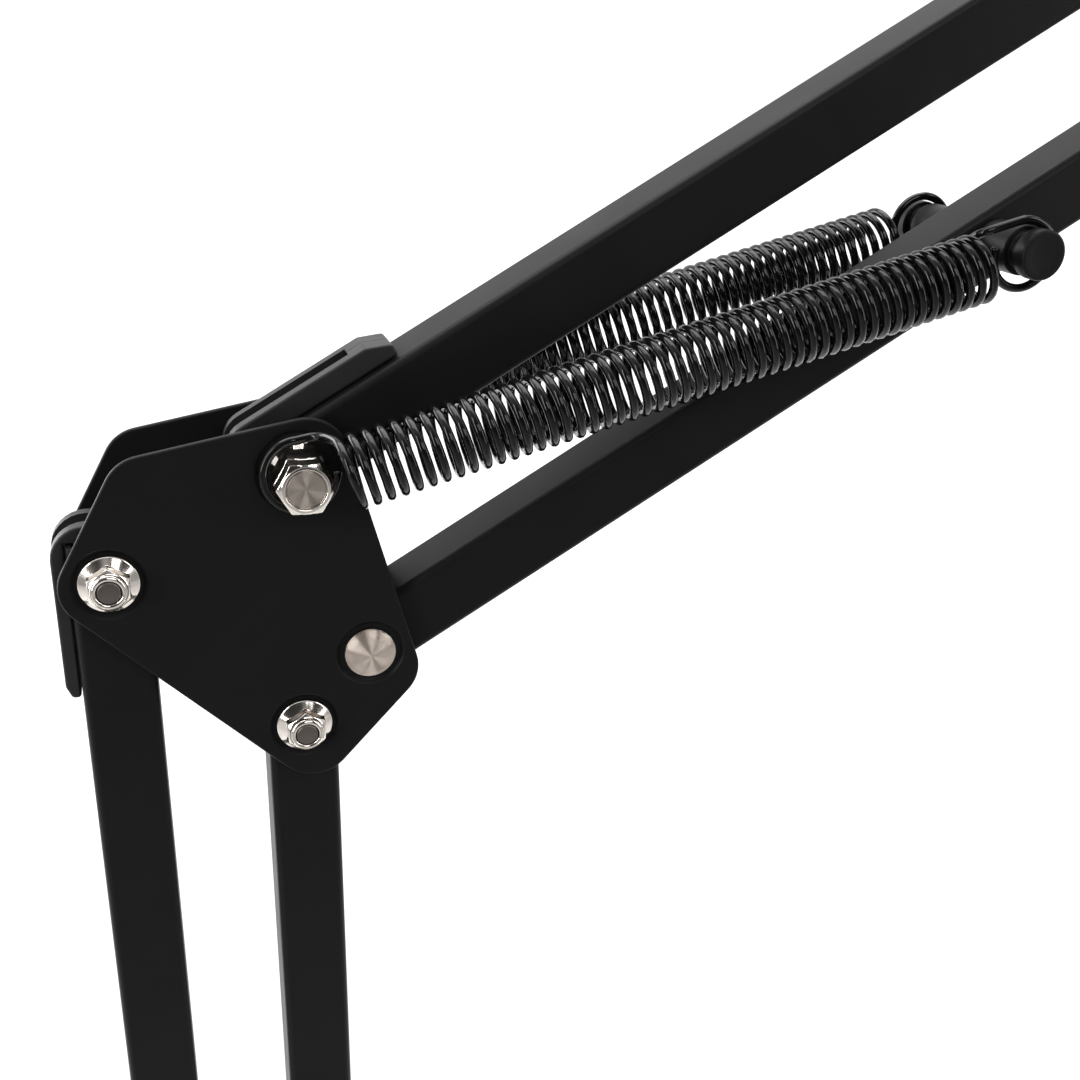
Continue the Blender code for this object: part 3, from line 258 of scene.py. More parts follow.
def powder_coat(name, tone, roughness):
    """Satin black powder coat on steel: a fine orange peel, with faint cloudy changes of sheen."""
    finish, tree, shader = paint(name, "black_coat", (tone, tone, tone), 0, roughness)
    tuned(shader, Specular_IOR_Level=0.12)
    drifting(tree, shader, speckle(tree, 0.018, 2), (tone * 0.85,) * 3,
             (tone * 1.15, tone * 1.15, tone * 1.2), roughness - 0.035, roughness + 0.035)
    relief(tree, shader, speckle(tree, 0.0011, 2), 0.000012)
    relief(tree, shader, speckle(tree, 0.00022, 2), 0.0000035)
    return finish


def stood(name, data):
    """A new object, stood in the scene."""
    item = bpy.data.objects.new(name, data)
    bpy.context.scene.collection.objects.link(item)
    return item


def fit(name, mesh, where, finish, body, *nodes):
    """One piece in its place on its body, standing for the named solids."""
    piece = stood(name, mesh)
    mesh.materials.clear()
    mesh.materials.append(finish)
    mesh.shade_smooth()
    mesh.set_sharp_from_angle(angle=math.radians(38))
    even = piece.modifiers.new("Even", "WEIGHTED_NORMAL")
    even.keep_sharp = True
    piece.matrix_world = where
    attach(piece, body)
    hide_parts(*nodes)
    return piece


def drilled(mesh, tools):
    """The mesh with the tools' meshes cut out of it."""
    scratch = [stood("scratch", data) for data in (mesh, *tools)]
    for tool in scratch[1:]:
        cut = scratch[0].modifiers.new("Cut", "BOOLEAN")
        cut.operation = "DIFFERENCE"
        cut.object = tool
        cut.solver = "EXACT"
    bpy.context.view_layer.update()
    graph = bpy.context.evaluated_depsgraph_get()
    done = bpy.data.meshes.new_from_object(scratch[0].evaluated_get(graph))
    for item in scratch:
        bpy.data.objects.remove(item)
    return done


def moved(mesh, where):
    """The mesh, carried to another place."""
    mesh.transform(where)
    return mesh


def facing(point, side):
    """A frame at a pivot whose Z points out to the front, -1, or to the rear, 1."""
    return Matrix.Translation(point) @ Matrix.Rotation(-side * math.pi / 2, 4, "X")


def along(point, way, out=Vector((0, 1, 0))):
    """X runs along a bar or spring, Y points out and Z lies across."""
    return Matrix.Translation(point) @ Matrix((way, out, way.cross(out))).transposed().to_4x4()


upright = Matrix.Identity(4)
flank = Matrix.Rotation(math.pi / 2, 4, "X")
lock_place = Matrix.Translation((0, 0, lock_height)) @ Matrix.Rotation(-math.pi / 2, 4, "Y")
clamp_coat = powder_coat("clamp_coat", 0.009, 0.47)
clamp_outline = eased([
    (upper_tip, jaw_top, 0.004),
    (spine_out, jaw_top, 0.008),
    (spine_out, jaw_foot, 0.008),
    (lower_tip, jaw_foot, 0.005),
    (lower_tip, jaw_floor, 0.003),
    (spine_in, jaw_floor, 0.004),
    (spine_in, jaw_face, 0.003),
    (upper_tip, jaw_face, 0.002),
], 0, 8)
clamp_slab = slab([clamp_outline], -clamp_width / 2, clamp_width / 2, 0.0015, steps=5)
clamp_shape = moved(clamp_slab, flank)
tapping = lathed([(0, jaw_floor + 0.002), (screw_radius + screw_room, jaw_floor + 0.002),
                  (screw_radius + screw_room, jaw_foot - 0.002), (0, jaw_foot - 0.002)])
fit("clamp_frame", drilled(clamp_shape, [tapping]), upright, clamp_coat, "clamp", "clamp_frame")
boss_shape = turned([
    (socket_bore, socket_top),
    (socket_radius, socket_top),
    (socket_radius, jaw_top + socket_fillet, socket_fillet),
    (socket_radius + socket_fillet, jaw_top + 0.0001, 0.0001),
    (socket_radius + socket_fillet, jaw_top - 0.001),
    (socket_bore, jaw_top - 0.001),
], 0.0007, 96)
side_hole = lathed([(0, 0.02), (lock_bore, 0.02), (lock_bore, 0.005), (0, 0.005)])
socket_shape = drilled(boss_shape, [moved(side_hole, lock_place)])
fit("clamp_socket", socket_shape, upright, clamp_coat, "clamp")

# The jaw pad: a strip of black rubber cemented under the upper jaw, with cross ribs on its
# lower face so that it grips the desk without marking it.
pad_half, pad_wide, pad_thick = 0.018, 0.0115, 0.002
grooves, groove_half, groove_depth = 11, 0.0006, 0.0005
rubber, tree, shader = paint("clamp_rubber", "black_rubber", (0.016, 0.016, 0.016), 0, 0.78)
drifting(tree, shader, speckle(tree, 0.006, 5), (0.012,) * 3, (0.021,) * 3, 0.7, 0.86)
relief(tree, shader, speckle(tree, 0.0004, 3), 0.00002)
pad_outline = [(-pad_half, pad_thick, 0.0004), (-pad_half, 0, 0.0003)]
for number in range(grooves):
    middle = -pad_half + (number + 1) * 2 * pad_half / (grooves + 1)
    pad_outline += [
        (middle - groove_half, 0, 0.0002),
        (middle - groove_half / 2, groove_depth, 0.0001),
        (middle + groove_half / 2, groove_depth, 0.0001),
        (middle + groove_half, 0, 0.0002),
    ]
pad_outline += [(pad_half, 0, 0.0003), (pad_half, pad_thick, 0.0004)]
pad_shape = slab([eased(pad_outline, 0, 2)], -pad_wide, pad_wide, 0.0003)
fit("jaw_pad", moved(pad_shape, flank), upright, rubber, "clamp", "jaw_pad")

# The socket bush: a flanged liner moulded in black nylon and pushed down into the socket,
# so that the steel spigot of the arm turns without rattle.
bush_bore, bush_lip = 0.00635, 0.0010
bush_flange, bush_rise = 0.012, 0.0018
nylon, tree, shader = paint("moulded_nylon", "black_nylon", (0.014, 0.014, 0.0145), 0, 0.46)
tuned(shader, Specular_IOR_Level=0.35)
drifting(tree, shader, speckle(tree, 0.009, 3), (0.011, 0.011, 0.0115), (0.018, 0.018, 0.0185),
         0.4, 0.52)
relief(tree, shader, speckle(tree, 0.0005, 2), 0.000008)
bush_shape = turned([
    (bush_bore, socket_top + bush_rise, 0.0005),
    (bush_flange, socket_top + bush_rise, 0.0006),
    (bush_flange, socket_top + 0.0003, 0.0003),
    (bush_bore + bush_lip, socket_top + 0.0003, 0),
    (bush_bore + bush_lip, jaw_top + 0.0033),
    (bush_bore, jaw_top + 0.0033),
], 0.0002, 80)
fit("socket_bush", bush_shape, upright, nylon, "clamp", "socket_bush")

# The pressure disc and its rubber: a turned steel disc swivels on the screw's neck below a
# collar, and carries a rubber face with moulded rings that bears on the desk's underside.
disc_radius = 0.016
rubber_face, rubber_back = -0.03, -0.0315
disc_face, disc_back, collar_foot, neck_top = -0.0318, -0.0348, -0.0408, -0.0392
ring_pitch, ring_depth = 0.0026, 0.0004


def bright_nickel(name, colour, roughness, ringed=0.0, brushed=0.0):
    """Nickel plate on steel. Ringed gives the lathe's circles and brushed the spun, rayed sheen."""
    finish, tree, shader = paint(name, "bright_nickel", colour, 1, roughness)
    cloud = speckle(tree, 0.0035, 4)
    dull = tuple(value * 0.86 for value in colour)
    clouded = shades(tree, spread(tree, cloud, 0, 1), dull, colour)
    tree.links.new(clouded, shader.inputs["Base Color"])
    sheen = spread(tree, cloud, roughness * 0.75, roughness * 1.3)
    tree.links.new(sheen, shader.inputs["Roughness"])
    if ringed:
        place = tree.nodes.new("ShaderNodeTexCoord")
        rings = tuned(tree.nodes.new("ShaderNodeTexWave"),
                      Scale=1 / ringed, Distortion=0.4, Detail=2)
        rings.wave_type = "RINGS"
        rings.rings_direction = "Z"
        tree.links.new(place.outputs["Object"], rings.inputs["Vector"])
        relief(tree, shader, rings.outputs["Fac"], 0.000006)
    if brushed:
        tuned(shader, Anisotropic=brushed, Anisotropic_Rotation=0.25)
        tangent = tree.nodes.new("ShaderNodeTangent")
        tangent.direction_type = "RADIAL"
        tangent.axis = "Z"
        tree.links.new(tangent.outputs["Tangent"], shader.inputs["Tangent"])
    relief(tree, shader, speckle(tree, 0.0006, 3), 0.000003)
    return finish


turned_nickel = bright_nickel("turned_nickel", (0.60, 0.56, 0.52), 0.2, ringed=0.004)
ring_floor = rubber_face - ring_depth
rubber_rings = [(0, ring_floor)]
for number in range(5):
    middle = ring_pitch * (number + 1)
    rubber_rings += [(middle - 0.0006, ring_floor), (middle - 0.0003, rubber_face),
                     (middle + 0.0009, rubber_face), (middle + 0.0012, ring_floor)]
rubber_rings += [(disc_radius, rubber_face - 0.0002, 0.0004), (disc_radius, rubber_back, 0.0003),
                 (0, rubber_back)]
rubber_shape = turned(rubber_rings, 0.0002, 80)
fit("pressure_rubber", rubber_shape, upright, rubber, "pressure_pad", "pressure_rubber")
disc_shape = turned([
    (0, disc_face),
    (disc_radius, disc_face),
    (disc_radius, disc_back, 0.0011),
    (0.0073, disc_back, 0.0006),
    (0.0068, collar_foot),
    (0.0033, collar_foot, 0.0003),
    (0.0033, neck_top),
    (0, neck_top),
], 0.0006, 96)
fit("pressure_disc", disc_shape, upright, turned_nickel, "pressure_pad", "pressure_disc")

# The clamp screw: an 8 mm steel screw with a rolled coarse thread, a neck that the disc turns
# on, and a round hub at its foot, cross drilled for the handle.
screw_pitch, screw_groove, neck_foot = 0.00125, 0.0006, -0.0412
hub_top, hub_foot, hub_radius, hub_bore = -0.0953, -0.1083, 0.007, 0.0031


def thread_rows(radius, pitch, depth, low, high, steps=48):
    """Rings of a thread between two heights, run out by a chamfer at each end."""
    rows = []
    count = max(2, round((high - low) / pitch * 8))
    for row in range(count + 1):
        height = low + (high - low) * row / count
        runout = min(height - low, high - height)
        ring = []
        for i in range(steps):
            turn = i / steps
            phase = ((height / pitch) - turn) % 1.0
            cut = depth * min(1.0, max(0.0, 1.7 * abs(2 * phase - 1) - 0.25))
            reach = min(radius - cut, radius - depth + runout * 0.9)
            angle = 2 * math.pi * turn
            ring.append((reach * math.cos(angle), reach * math.sin(angle), height))
        rows.append(ring)
    return rows


def screw_shape(radius, pitch, depth, low, high):
    """A threaded rod."""
    return skinned(thread_rows(radius, pitch, depth, low, high))


thread_steel = bright_nickel("thread_steel", (0.50, 0.475, 0.45), 0.26)
screw = screw_shape(screw_radius, screw_pitch, screw_groove, hub_top - 0.001, neck_foot)
fit("clamp_screw_thread", screw, upright, thread_steel, "clamp_screw", "clamp_screw")
hub_middle = Vector((0, 0, (hub_top + hub_foot) / 2))
cross_hole = lathed([(0, 0.01), (hub_bore, 0.01), (hub_bore, -0.01), (0, -0.01)])
hub_blank = turned([(0, hub_top), (hub_radius, hub_top), (hub_radius, hub_foot), (0, hub_foot)],
                   0.0008, 80)
hub_shape = drilled(hub_blank, [moved(cross_hole, facing(hub_middle, -1))])
fit("clamp_screw_hub", hub_shape, upright, turned_nickel, "clamp_screw")

# The tommy bar: a plated steel rod that slides through the hub, with a rounded end pressed
# on each side to keep it in.
handle_radius, ball_radius = 0.0028, 0.0042
handle_end, ball_start = 0.038, 0.03


def both_ends(end):
    """A turned profile from the rows of its upper end, with the same end below."""
    return end + [(radius, -height, *more) for radius, height, *more in reversed(end)]


handle_shape = turned(both_ends([
    (0, handle_end),
    (ball_radius, handle_end, 0.0022),
    (ball_radius, ball_start + 0.0004, 0.0008),
    (handle_radius, ball_start, 0.0001),
]), 0.0005)
fit("clamp_handle", handle_shape, facing(hub_middle, -1), turned_nickel, "clamp_screw",
    "clamp_handle")

# The lock screw and its knob: a 5 mm screw through the socket's side nips the spigot's
# groove, and a five-lobed nylon knob is moulded on its head.
lock_tip, lock_end, lock_radius = 0.00535, 0.0282, 0.0025


def lobe_ring(radius, bite, height):
    """The grip's outline: five rounded lobes with hollows for the fingers."""
    points = []
    for i in range(120):
        angle = 2 * math.pi * i / 120
        reach = radius * (1 - bite * (1 - math.cos(5 * angle)) / 2)
        points.append((reach * math.cos(angle), reach * math.sin(angle), height))
    return points


def knob_shape(radius, thick, stand, bore):
    """A moulded knob: a hub below, lobed sides with soft edges, and a dished cap on its face."""
    hub = radius * 0.54
    top = stand + thick
    rings = circles(((bore, 0.006), (bore, 0), (hub - 0.0004, 0), (hub, 0.0004),
                     (hub, thick * 0.24)), stand, 120)
    rings.append(lobe_ring(radius * 0.90, 0.16, stand + thick * 0.25))
    for step in range(5):
        turn = math.pi / 2 * step / 4
        share = 0.93 + 0.07 * math.sin(turn)
        height = stand + thick * (0.26 + 0.1 * (1 - math.cos(turn)))
        rings.append(lobe_ring(radius * share, 0.2, height))
    for step in range(7):
        turn = math.pi / 2 * step / 6
        share = 0.86 + 0.14 * math.cos(turn)
        height = stand + thick * (0.82 + 0.18 * math.sin(turn))
        rings.append(lobe_ring(radius * share, 0.2 - 0.07 * step / 6, height))
    cap = ((0.57, 0), (0.54, -0.0005), (0.5, -0.0006), (0.25, -0.0009))
    rings += circles([(radius * share, dish) for share, dish in cap], top, 120)
    rings.append([(0, 0, top - 0.001)])
    return skinned(rings)


lock_screw = screw_shape(lock_radius, 0.0008, 0.0004, lock_tip, lock_end)
fit("lock_screw", lock_screw, lock_place, thread_steel, "lock", "lock_screw")
fit("lock_knob", knob_shape(0.0095, 0.009, 0.0215, 0.0028), lock_place, nylon, "lock", "lock_knob")

# The swivelling foot: a steel block between two dished plates stands on a turned spigot. Two
# rivets a side hold block and plates together, so that the whole arm turns in the socket.
pivots = {joint["name"]: Vector(joint["pos_m"]) for joint in frame["joints"] if "pos_m" in joint}
base_right, base_left = pivots["lower_arm_parallel"], pivots["lower_arm"]
block_foot, block_top, block_half, block_thick = 0.0424, 0.0529, 0.0155, 0.0084
spigot_radius, groove_radius = 0.006, 0.005
groove_top, groove_foot, spigot_foot = 0.0293, 0.0233, 0.0159
plate_in, plate_out, plate_corner = 0.0087, 0.0102, 0.0085
pressed = 0.0009
both_sides = (("front", -1), ("rear", 1))
nut_floor, loop_floor = 0.0064, 0.0076
bolt_hole, spring_bolt_hole = 0.0028, 0.0033
plate_coat = powder_coat("plate_coat", 0.0075, 0.44)


def box(across, deep):
    """The corners of a rectangle, from half of each side."""
    return [(-across, -deep), (across, -deep), (across, deep), (-across, deep)]


def near(pivot, x, z):
    """A plate's corner, placed from the pivot that it stands round."""
    return (pivot.x + x, pivot.z + z)


def pressed_plate(name, corners, holes, side, body):
    """A side plate of 1.5 mm sheet, pressed in round each pivot by a soft-edged dimple."""
    outline = [Vector((point.x, -side * point.y)) for point in eased(corners, plate_corner, 10)]
    wells = []
    for pivot, bore, floor in holes:
        slope = [(step / 8, pressed * (step / 8) ** 2 * (3 - 2 * step / 8)) for step in range(9)]
        rows = [(floor + 0.0013 * (1 - share), plate_out - fall) for share, fall in slope]
        rows += [(bore, plate_out - pressed), (bore, plate_in - pressed)]
        rows += [(floor + 0.0010 * share, plate_in - pressed + fall) for share, fall in slope]
        wells.append(((pivot.x, -side * pivot.z), rows))
    shape = slab([outline], plate_in, plate_out, 0.0005, wells, steps=4)
    fit(name, shape, facing(Vector(), side), plate_coat, body, name)


base_corners = [
    (-block_half, block_foot, 0.003),
    (block_half, block_foot, 0.003),
    near(base_right, 0.0125, -0.0030),
    near(base_right, 0.0045, 0.0125),
    near(base_left, 0.0065, 0.0130),
    near(base_left, -0.0130, 0.0070),
]
base_holes = [(base_left, spring_bolt_hole, loop_floor), (base_right, bolt_hole, nut_floor)]
for label, side in both_sides:
    pressed_plate(f"base_plate_{label}", base_corners, base_holes, side, "base")
    for number, x in enumerate((-0.0105, 0.0105)):
        rivet_place = facing(Vector((x, 0, (block_foot + block_top) / 2)), side)
        rows = ((0, 0.0015), (0.0018, 0.0013), (0.003, 0.0008), (0.0036, 0.0003), (0.0036, -0.0001),
                (0, -0.0001))
        head = lathed([(radius, plate_out + height) for radius, height in rows], 40)
        fit(f"block_rivet_{label}_{number + 1}", head, rivet_place, plate_coat, "base")
block_loop = eased(box(block_half, block_thick), 0.001, 4)
block_shape = slab([block_loop], block_foot, block_top, 0.0007)
fit("base_block", block_shape, upright, plate_coat, "base", "base_block")
spigot_shape = turned([
    (0, block_foot),
    (spigot_radius, block_foot - 0.0003),
    (spigot_radius, groove_top, 0.0003),
    (groove_radius, groove_top, 0.0003),
    (groove_radius, groove_foot, 0.0003),
    (spigot_radius, groove_foot, 0.0003),
    (spigot_radius, spigot_foot, 0.0008),
    (0, spigot_foot),
], 0.0002)
fit("base_spigot", spigot_shape, upright, turned_nickel, "base", "base_spigot")

# The pivot bolts: 5 mm bolts with flanged lock nuts. The nut has a sloped flange, a hexagon
# with chamfered corners and a rolled collar, and the bare grey end of the bolt shows in it.
seat = 0.0096
nut_flats, nut_top = 0.008, 0.0041
bolt_shank, spring_shank = 0.0024, 0.0029
plated = bright_nickel("plated_hexagon", (0.86, 0.80, 0.74), 0.12)
spun = bright_nickel("spun_face", (0.54, 0.475, 0.42), 0.34, ringed=0.0016, brushed=0.96)
bare_steel = bright_nickel("bare_bolt_end", (0.2, 0.176, 0.16), 0.4)


def hex_ring(flats, height, most=1.0, least=0.0):
    """A hexagon held within one circle, as a chamfer cuts its corners, and outside another."""
    points = []
    for i in range(96):
        angle = 2 * math.pi * i / 96
        reach = flats / 2 / math.cos((angle + math.pi / 6) % (math.pi / 3) - math.pi / 6)
        reach = max(min(reach, most), least)
        points.append((reach * math.cos(angle), reach * math.sin(angle), height))
    return points


def chamfer(flats, end, rise):
    """Rings where a 30 degree chamfer cuts a hexagon's corners, towards a height."""
    rings = []
    for step in range(7):
        share = step / 6
        rings.append(hex_ring(flats, end - rise * (1 - share), flats / 2 * (1.155 - 0.205 * share)))
    return rings


def flange_nut(name, pivot, side, body):
    """A lock nut: its flange, its hexagon and the collar rolled over the nylon ring."""
    rings = circles(((0.0027, 0), (0.00575, 0), (0.00595, 0.0002), (0.006, 0.0004),
                     (0.00592, 0.0006), (0.0057, 0.00075)), seat)
    rings.append(hex_ring(nut_flats + 0.00035, seat + 0.00165, most=0.00472, least=0.0043))
    rings.append(hex_ring(nut_flats + 0.00005, seat + 0.0018, most=0.00463))
    rings += [hex_ring(nut_flats, seat + 0.0018 + 0.0013 * step / 3) for step in (1, 2, 3)]
    rings += chamfer(nut_flats, seat + nut_top, 0.0007)
    rings += circles(((0.0037, 0.00415), (0.00366, 0.0045), (0.00358, 0.00475), (0.00345, 0.00487),
                      (0.0034, 0.00475), (0.00332, 0.00483), (0.0031, 0.00498), (0.00285, 0.005),
                      (0.0026, 0.00488), (0.00245, 0.0047), (0.00242, 0.0044)), seat)
    fit(name, skinned(rings, looped=True), facing(pivot, side), plated, body, name)


def bolt_head(name, where, flats, low, thick, shank, reach, body, *nodes):
    """A hexagon head with a raised rim, on its shank, and the turned face inside the rim."""
    top = low + thick
    rings = [[(0, 0, reach)]]
    rings += circles(((shank * 0.88, reach), (shank, reach + 0.0004), (shank, low)))
    rings += [hex_ring(flats * 0.98, low, flats / 2 * 1.08), hex_ring(flats, low + 0.0002)]
    rings += chamfer(flats, top - 0.0001, 0.0005)
    rim = ((0.466, -0.00002), (0.428, 0), (0.418, 0.00004), (0.408, 0), (0.4, -0.00012),
           (0.394, -0.0004), (0.3, -0.0004))
    rings += circles([(flats * share, height) for share, height in rim], top)
    rings.append([(0, 0, top - 0.0004)])
    fit(name, skinned(rings), where, plated, body, *nodes)
    face = [(0, top - 0.0003)]
    for step in range(1, 13):
        share = step / 12
        face.append((flats * 0.36 * share, top - 0.0003 + 0.00012 * share ** 2))
    face_edge = ((0.37, 0.0003), (0.38, 0.00022), (0.389, 0.0003), (0.392, 0.0005), (0, 0.0005))
    face += [(flats * share, top - depth) for share, depth in face_edge]
    fit(name + "_face", lathed(face, 96), where, spun, body)


def bolt_end(name, where, radius, height, body):
    """The bare end of a bolt in its nut: a shallow chamfer round a flat, sheared face."""
    shape = turned([
        (0, height - 0.00004),
        (radius * 0.9, height, 0.0002),
        (radius, height - 0.0003, 0.0001),
        (radius, height - 0.003),
        (0, height - 0.003),
    ], 0.0001)
    fit(name, shape, where, bare_steel, body)


def pivot_bolt(bolt, nut, pivot, body):
    """A bolt through both plates, its head behind and its nut in front."""
    bolt_head(bolt, facing(pivot, 1), nut_flats, seat, 0.0035, bolt_shank, -seat - 0.0042,
              body, bolt)
    flange_nut(nut, pivot, -1, body)
    bolt_end(bolt + "_end", facing(pivot, -1), 0.00232, seat + 0.0049, body)


pivot_bolt("base_bolt", "base_nut", base_right, "base")

# The spring bolts: 6 mm bolts that carry the springs' loops. A long nut with a flange clamps each
# plate, the loop goes round its hexagon, and the bolt's head, or a jam nut behind, locks it.
spring_flats, jam_top, jam_thick = 0.01, 0.01735, 0.0041


def flat_up(pivot, side):
    """A pivot's frame turned so that a hexagon shows a flat at its top."""
    return facing(pivot, side) @ Matrix.Rotation(math.pi / 6, 4, "Z")


def spring_nut(name, pivot, side, body, jammed):
    """The long flanged nut that a spring's loop goes round, with or without a jam nut on it."""
    rings = circles(((0.0033, 0), (0.0058, 0), (0.00598, 0.0002), (0.006, 0.0004),
                     (0.00594, 0.0005)), seat)
    rings.append(hex_ring(spring_flats + 0.0001, seat + 0.0014, most=0.0056, least=0.00506))
    rings += [hex_ring(spring_flats, seat + 0.0016 + 0.0053 * step / 3) for step in range(4)]
    rings += chamfer(spring_flats, jam_top, 0.0005)
    top = jam_top
    if jammed:
        top = jam_top + jam_thick
        rings += circles(((0.0044, 0), (0.0044, 0.0005)), jam_top)
        rings += chamfer(spring_flats, jam_top + 0.0005, -0.0006)[::-1]
        rings += chamfer(spring_flats, top, 0.0006)
    rings += circles(((0.0042, 0), (0.0038, -0.0002), (0.0032, -0.0006)), top)
    fit(name, skinned(rings, looped=True), flat_up(pivot, side), plated, body, name)


def spring_bolt(prefix, pivot):
    """A spring bolt with its two long nuts. Its head is in front and its jam nut behind."""
    name = prefix + "_spring_bolt"
    low = jam_top + 0.0003
    bolt_head(name, flat_up(pivot, -1), spring_flats, low, 0.0038, spring_shank, -0.0212,
              prefix, name)
    bolt_end(name + "_end", flat_up(pivot, 1), 0.0028, 0.02205, prefix)
    spring_nut(prefix + "_spring_nut_front", pivot, -1, prefix, False)
    spring_nut(prefix + "_spring_nut_rear", pivot, 1, prefix, True)


spring_bolt("base", base_left)

# The four arm bars: square steel tube, 15 mm across with 1.2 mm walls and rolled corners,
# sawn to length, drilled for its pivots and powder coated black all over.
reach_of_arm, tail = 0.340, 0.007
bar_half, bar_corner, bore_share = 0.0075, 0.0017, 0.84
elbow_left, elbow_top = pivots["elbow_level"], pivots["upper_arm"]
elbow_bottom = pivots["upper_arm_parallel"]
elbow_right = base_right + Vector((0, 0, reach_of_arm))
upwards = Vector((0, 0, 1))
upper_way = (pivots["head_level"] - elbow_top).normalized()
head_top, head_bottom = pivots["head_level"], elbow_bottom + upper_way * reach_of_arm
bar_coat = powder_coat("bar_coat", 0.0078, 0.42)


def square_bar(name, pivot, way, body):
    """One tube, from its pivot along its way."""
    corners = [(bar_half, -bar_half), (bar_half, bar_half),
               (-bar_half, bar_half), (-bar_half, -bar_half)]
    outer = eased(corners, bar_corner, 7)
    inner = eased([(x * bore_share, y * bore_share) for x, y in corners], 0.0007, 3)
    shape = slab([outer, inner], -tail, reach_of_arm + tail, 0.00025, steps=2)
    lengthways = along(pivot, way) @ Matrix.Rotation(math.pi / 2, 4, "Y")
    fit(name, shape, lengthways, bar_coat, body, name)


square_bar("lower_bar_left", base_left, upwards, "lower_left")
square_bar("lower_bar_right", base_right, upwards, "lower_right")
square_bar("upper_bar_top", elbow_top, upper_way, "upper_top")
square_bar("upper_bar_bottom", elbow_bottom, upper_way, "upper_bottom")

# The end plugs: black nylon mouldings pushed into the tubes. Each has a bevelled cap that covers
# the sawn end and a bore that the pivot bolt turns in.
plug_end, plug_half = 0.008, 0.006
plug_face = -tail - 0.0003
cap_face = plug_face - 0.0013
bolt_bore, spring_bolt_bore = 0.00285, 0.00335


def end_plug(name, pivot, way, bore, body):
    """One plug in the bar's end at a pivot."""
    outline = eased([
        (plug_end, -plug_half),
        (plug_end, plug_half),
        (plug_face, plug_half, 0),
        (cap_face, 0.005),
        (cap_face, -0.005),
        (plug_face, -plug_half, 0),
    ], 0.0005, 3)
    shape = moved(slab([outline, ring_of(bore, 0, 40)], -plug_half, plug_half, 0.0004), flank)
    fit(name, shape, along(pivot, way), nylon, body, name)


end_plug("lower_left_plug", base_left, upwards, spring_bolt_bore, "lower_left")
end_plug("lower_right_plug_foot", base_right, upwards, bolt_bore, "lower_right")
end_plug("lower_right_plug_top", elbow_right, -upwards, bolt_bore, "lower_right")
end_plug("upper_top_plug", head_top, -upper_way, bolt_bore, "upper_top")
end_plug("upper_bottom_plug_near", elbow_bottom, upper_way, bolt_bore, "upper_bottom")
end_plug("upper_bottom_plug_far", head_bottom, -upper_way, bolt_bore, "upper_bottom")

# The slotted guides: nylon plugs whose noses wrap the tube's end as two ears and run on along the
# bar as an outer rail with a long slot, where a cable can be tied down.
ear_face, guide_half, rail_foot = -0.0108, 0.0052, 0.0078
slot_half, slot_floor, slot_end, parting_half = 0.0023, 0.0069, 0.0208, 0.00007


def guide_piece(loops, half, outward, edge):
    """A flat shape in the bar's own plane, on the bar's outward side."""
    turned_out = [[(x, z * outward) for x, z in loop] for loop in loops]
    return moved(slab(turned_out, -half, half, edge), flank)


def slotted_guide(name, pivot, way, outward, bore, body, rise, end, taper, nose):
    """One guide: its rail rises above the bar, and slopes down over the taper to its end."""
    top = bar_half + rise
    outline = eased([
        (plug_end, plug_half, 0.0007),
        (plug_face, plug_half, 0),
        (plug_face, rail_foot, 0),
        (end, rail_foot, 0.0007),
        (end, top - taper * 0.42, 0.0010),
        (end - taper, top, 0.0012),
        (ear_face, top, nose),
        (ear_face, -0.0042, 0.001),
        (cap_face, -plug_half, 0.0007),
        (plug_end, -plug_half, 0.0007),
    ], 0, 8)
    hole = [(x, z * outward) for x, z, _ in ring_of(bore, 0, 40)]
    blank = guide_piece([outline, hole], guide_half, outward, 0.0005)
    slot = [(-0.03, -0.03), (cap_face, -0.03), (cap_face, slot_floor), (slot_end, slot_floor),
            (slot_end, 0.03), (-0.03, 0.03)]
    parting = [(0.0205, top - 0.00012), (end - taper, top - 0.00012), (end + 0.0002, top - 0.0023),
               (end + 0.0002, top + 0.001), (0.0205, top + 0.001)]
    cuts = [guide_piece([slot], slot_half, outward, 0),
            guide_piece([parting], parting_half, outward, 0)]
    fit(name, drilled(blank, cuts), along(pivot, way), nylon, body, name)


slotted_guide("lower_bar_guide", elbow_left, -upwards, -1, bolt_bore, "lower_left",
              rise=0.0032, end=0.0267, taper=0.0026, nose=0.0085)
slotted_guide("upper_bar_guide", elbow_top, upper_way, 1, spring_bolt_bore, "upper_top",
              rise=0.0050, end=0.0293, taper=0.0050, nose=0.0060)

# The spring posts: steel pins turned with a groove near each end, pressed through the bar so that
# both ends stand out for the springs' hooks. They are powder coated with the bar.
post_coat = powder_coat("post_coat", 0.009, 0.38)
post_radius, post_groove, ring_room, post_reach = 0.0054, 0.0040, 0.0015, 0.16533
spring_stand = 0.0094
hung = plate_out + spring_stand
upper_post = elbow_bottom + upper_way * post_reach
spring_length = (upper_post - elbow_top).length
span = base_right - base_left
lower_post = base_right + upwards * (-span.z + math.sqrt(spring_length ** 2 - span.x ** 2))


def spring_post(name, place, body):
    """One post through its bar, with the grooves where the springs hang."""
    shape = turned(both_ends([
        (0, hung + 0.0048),
        (0.0030, hung + 0.0049, 0.0006),
        (post_radius, hung + 0.0051, 0.0006),
        (post_radius, hung + ring_room, 0.0004),
        (post_groove, hung + ring_room, 0.0005),
        (post_groove, hung - ring_room, 0.0005),
        (post_radius, hung - ring_room, 0.0004),
        (post_radius, 0.0078, 0.0003),
        (0.0030, 0.0078, 0),
    ]), 0, 80)
    fit(name, shape, facing(place, -1), post_coat, body, name)


spring_post("lower_spring_post", lower_post, "lower_right")
spring_post("upper_spring_post", upper_post, "upper_bottom")

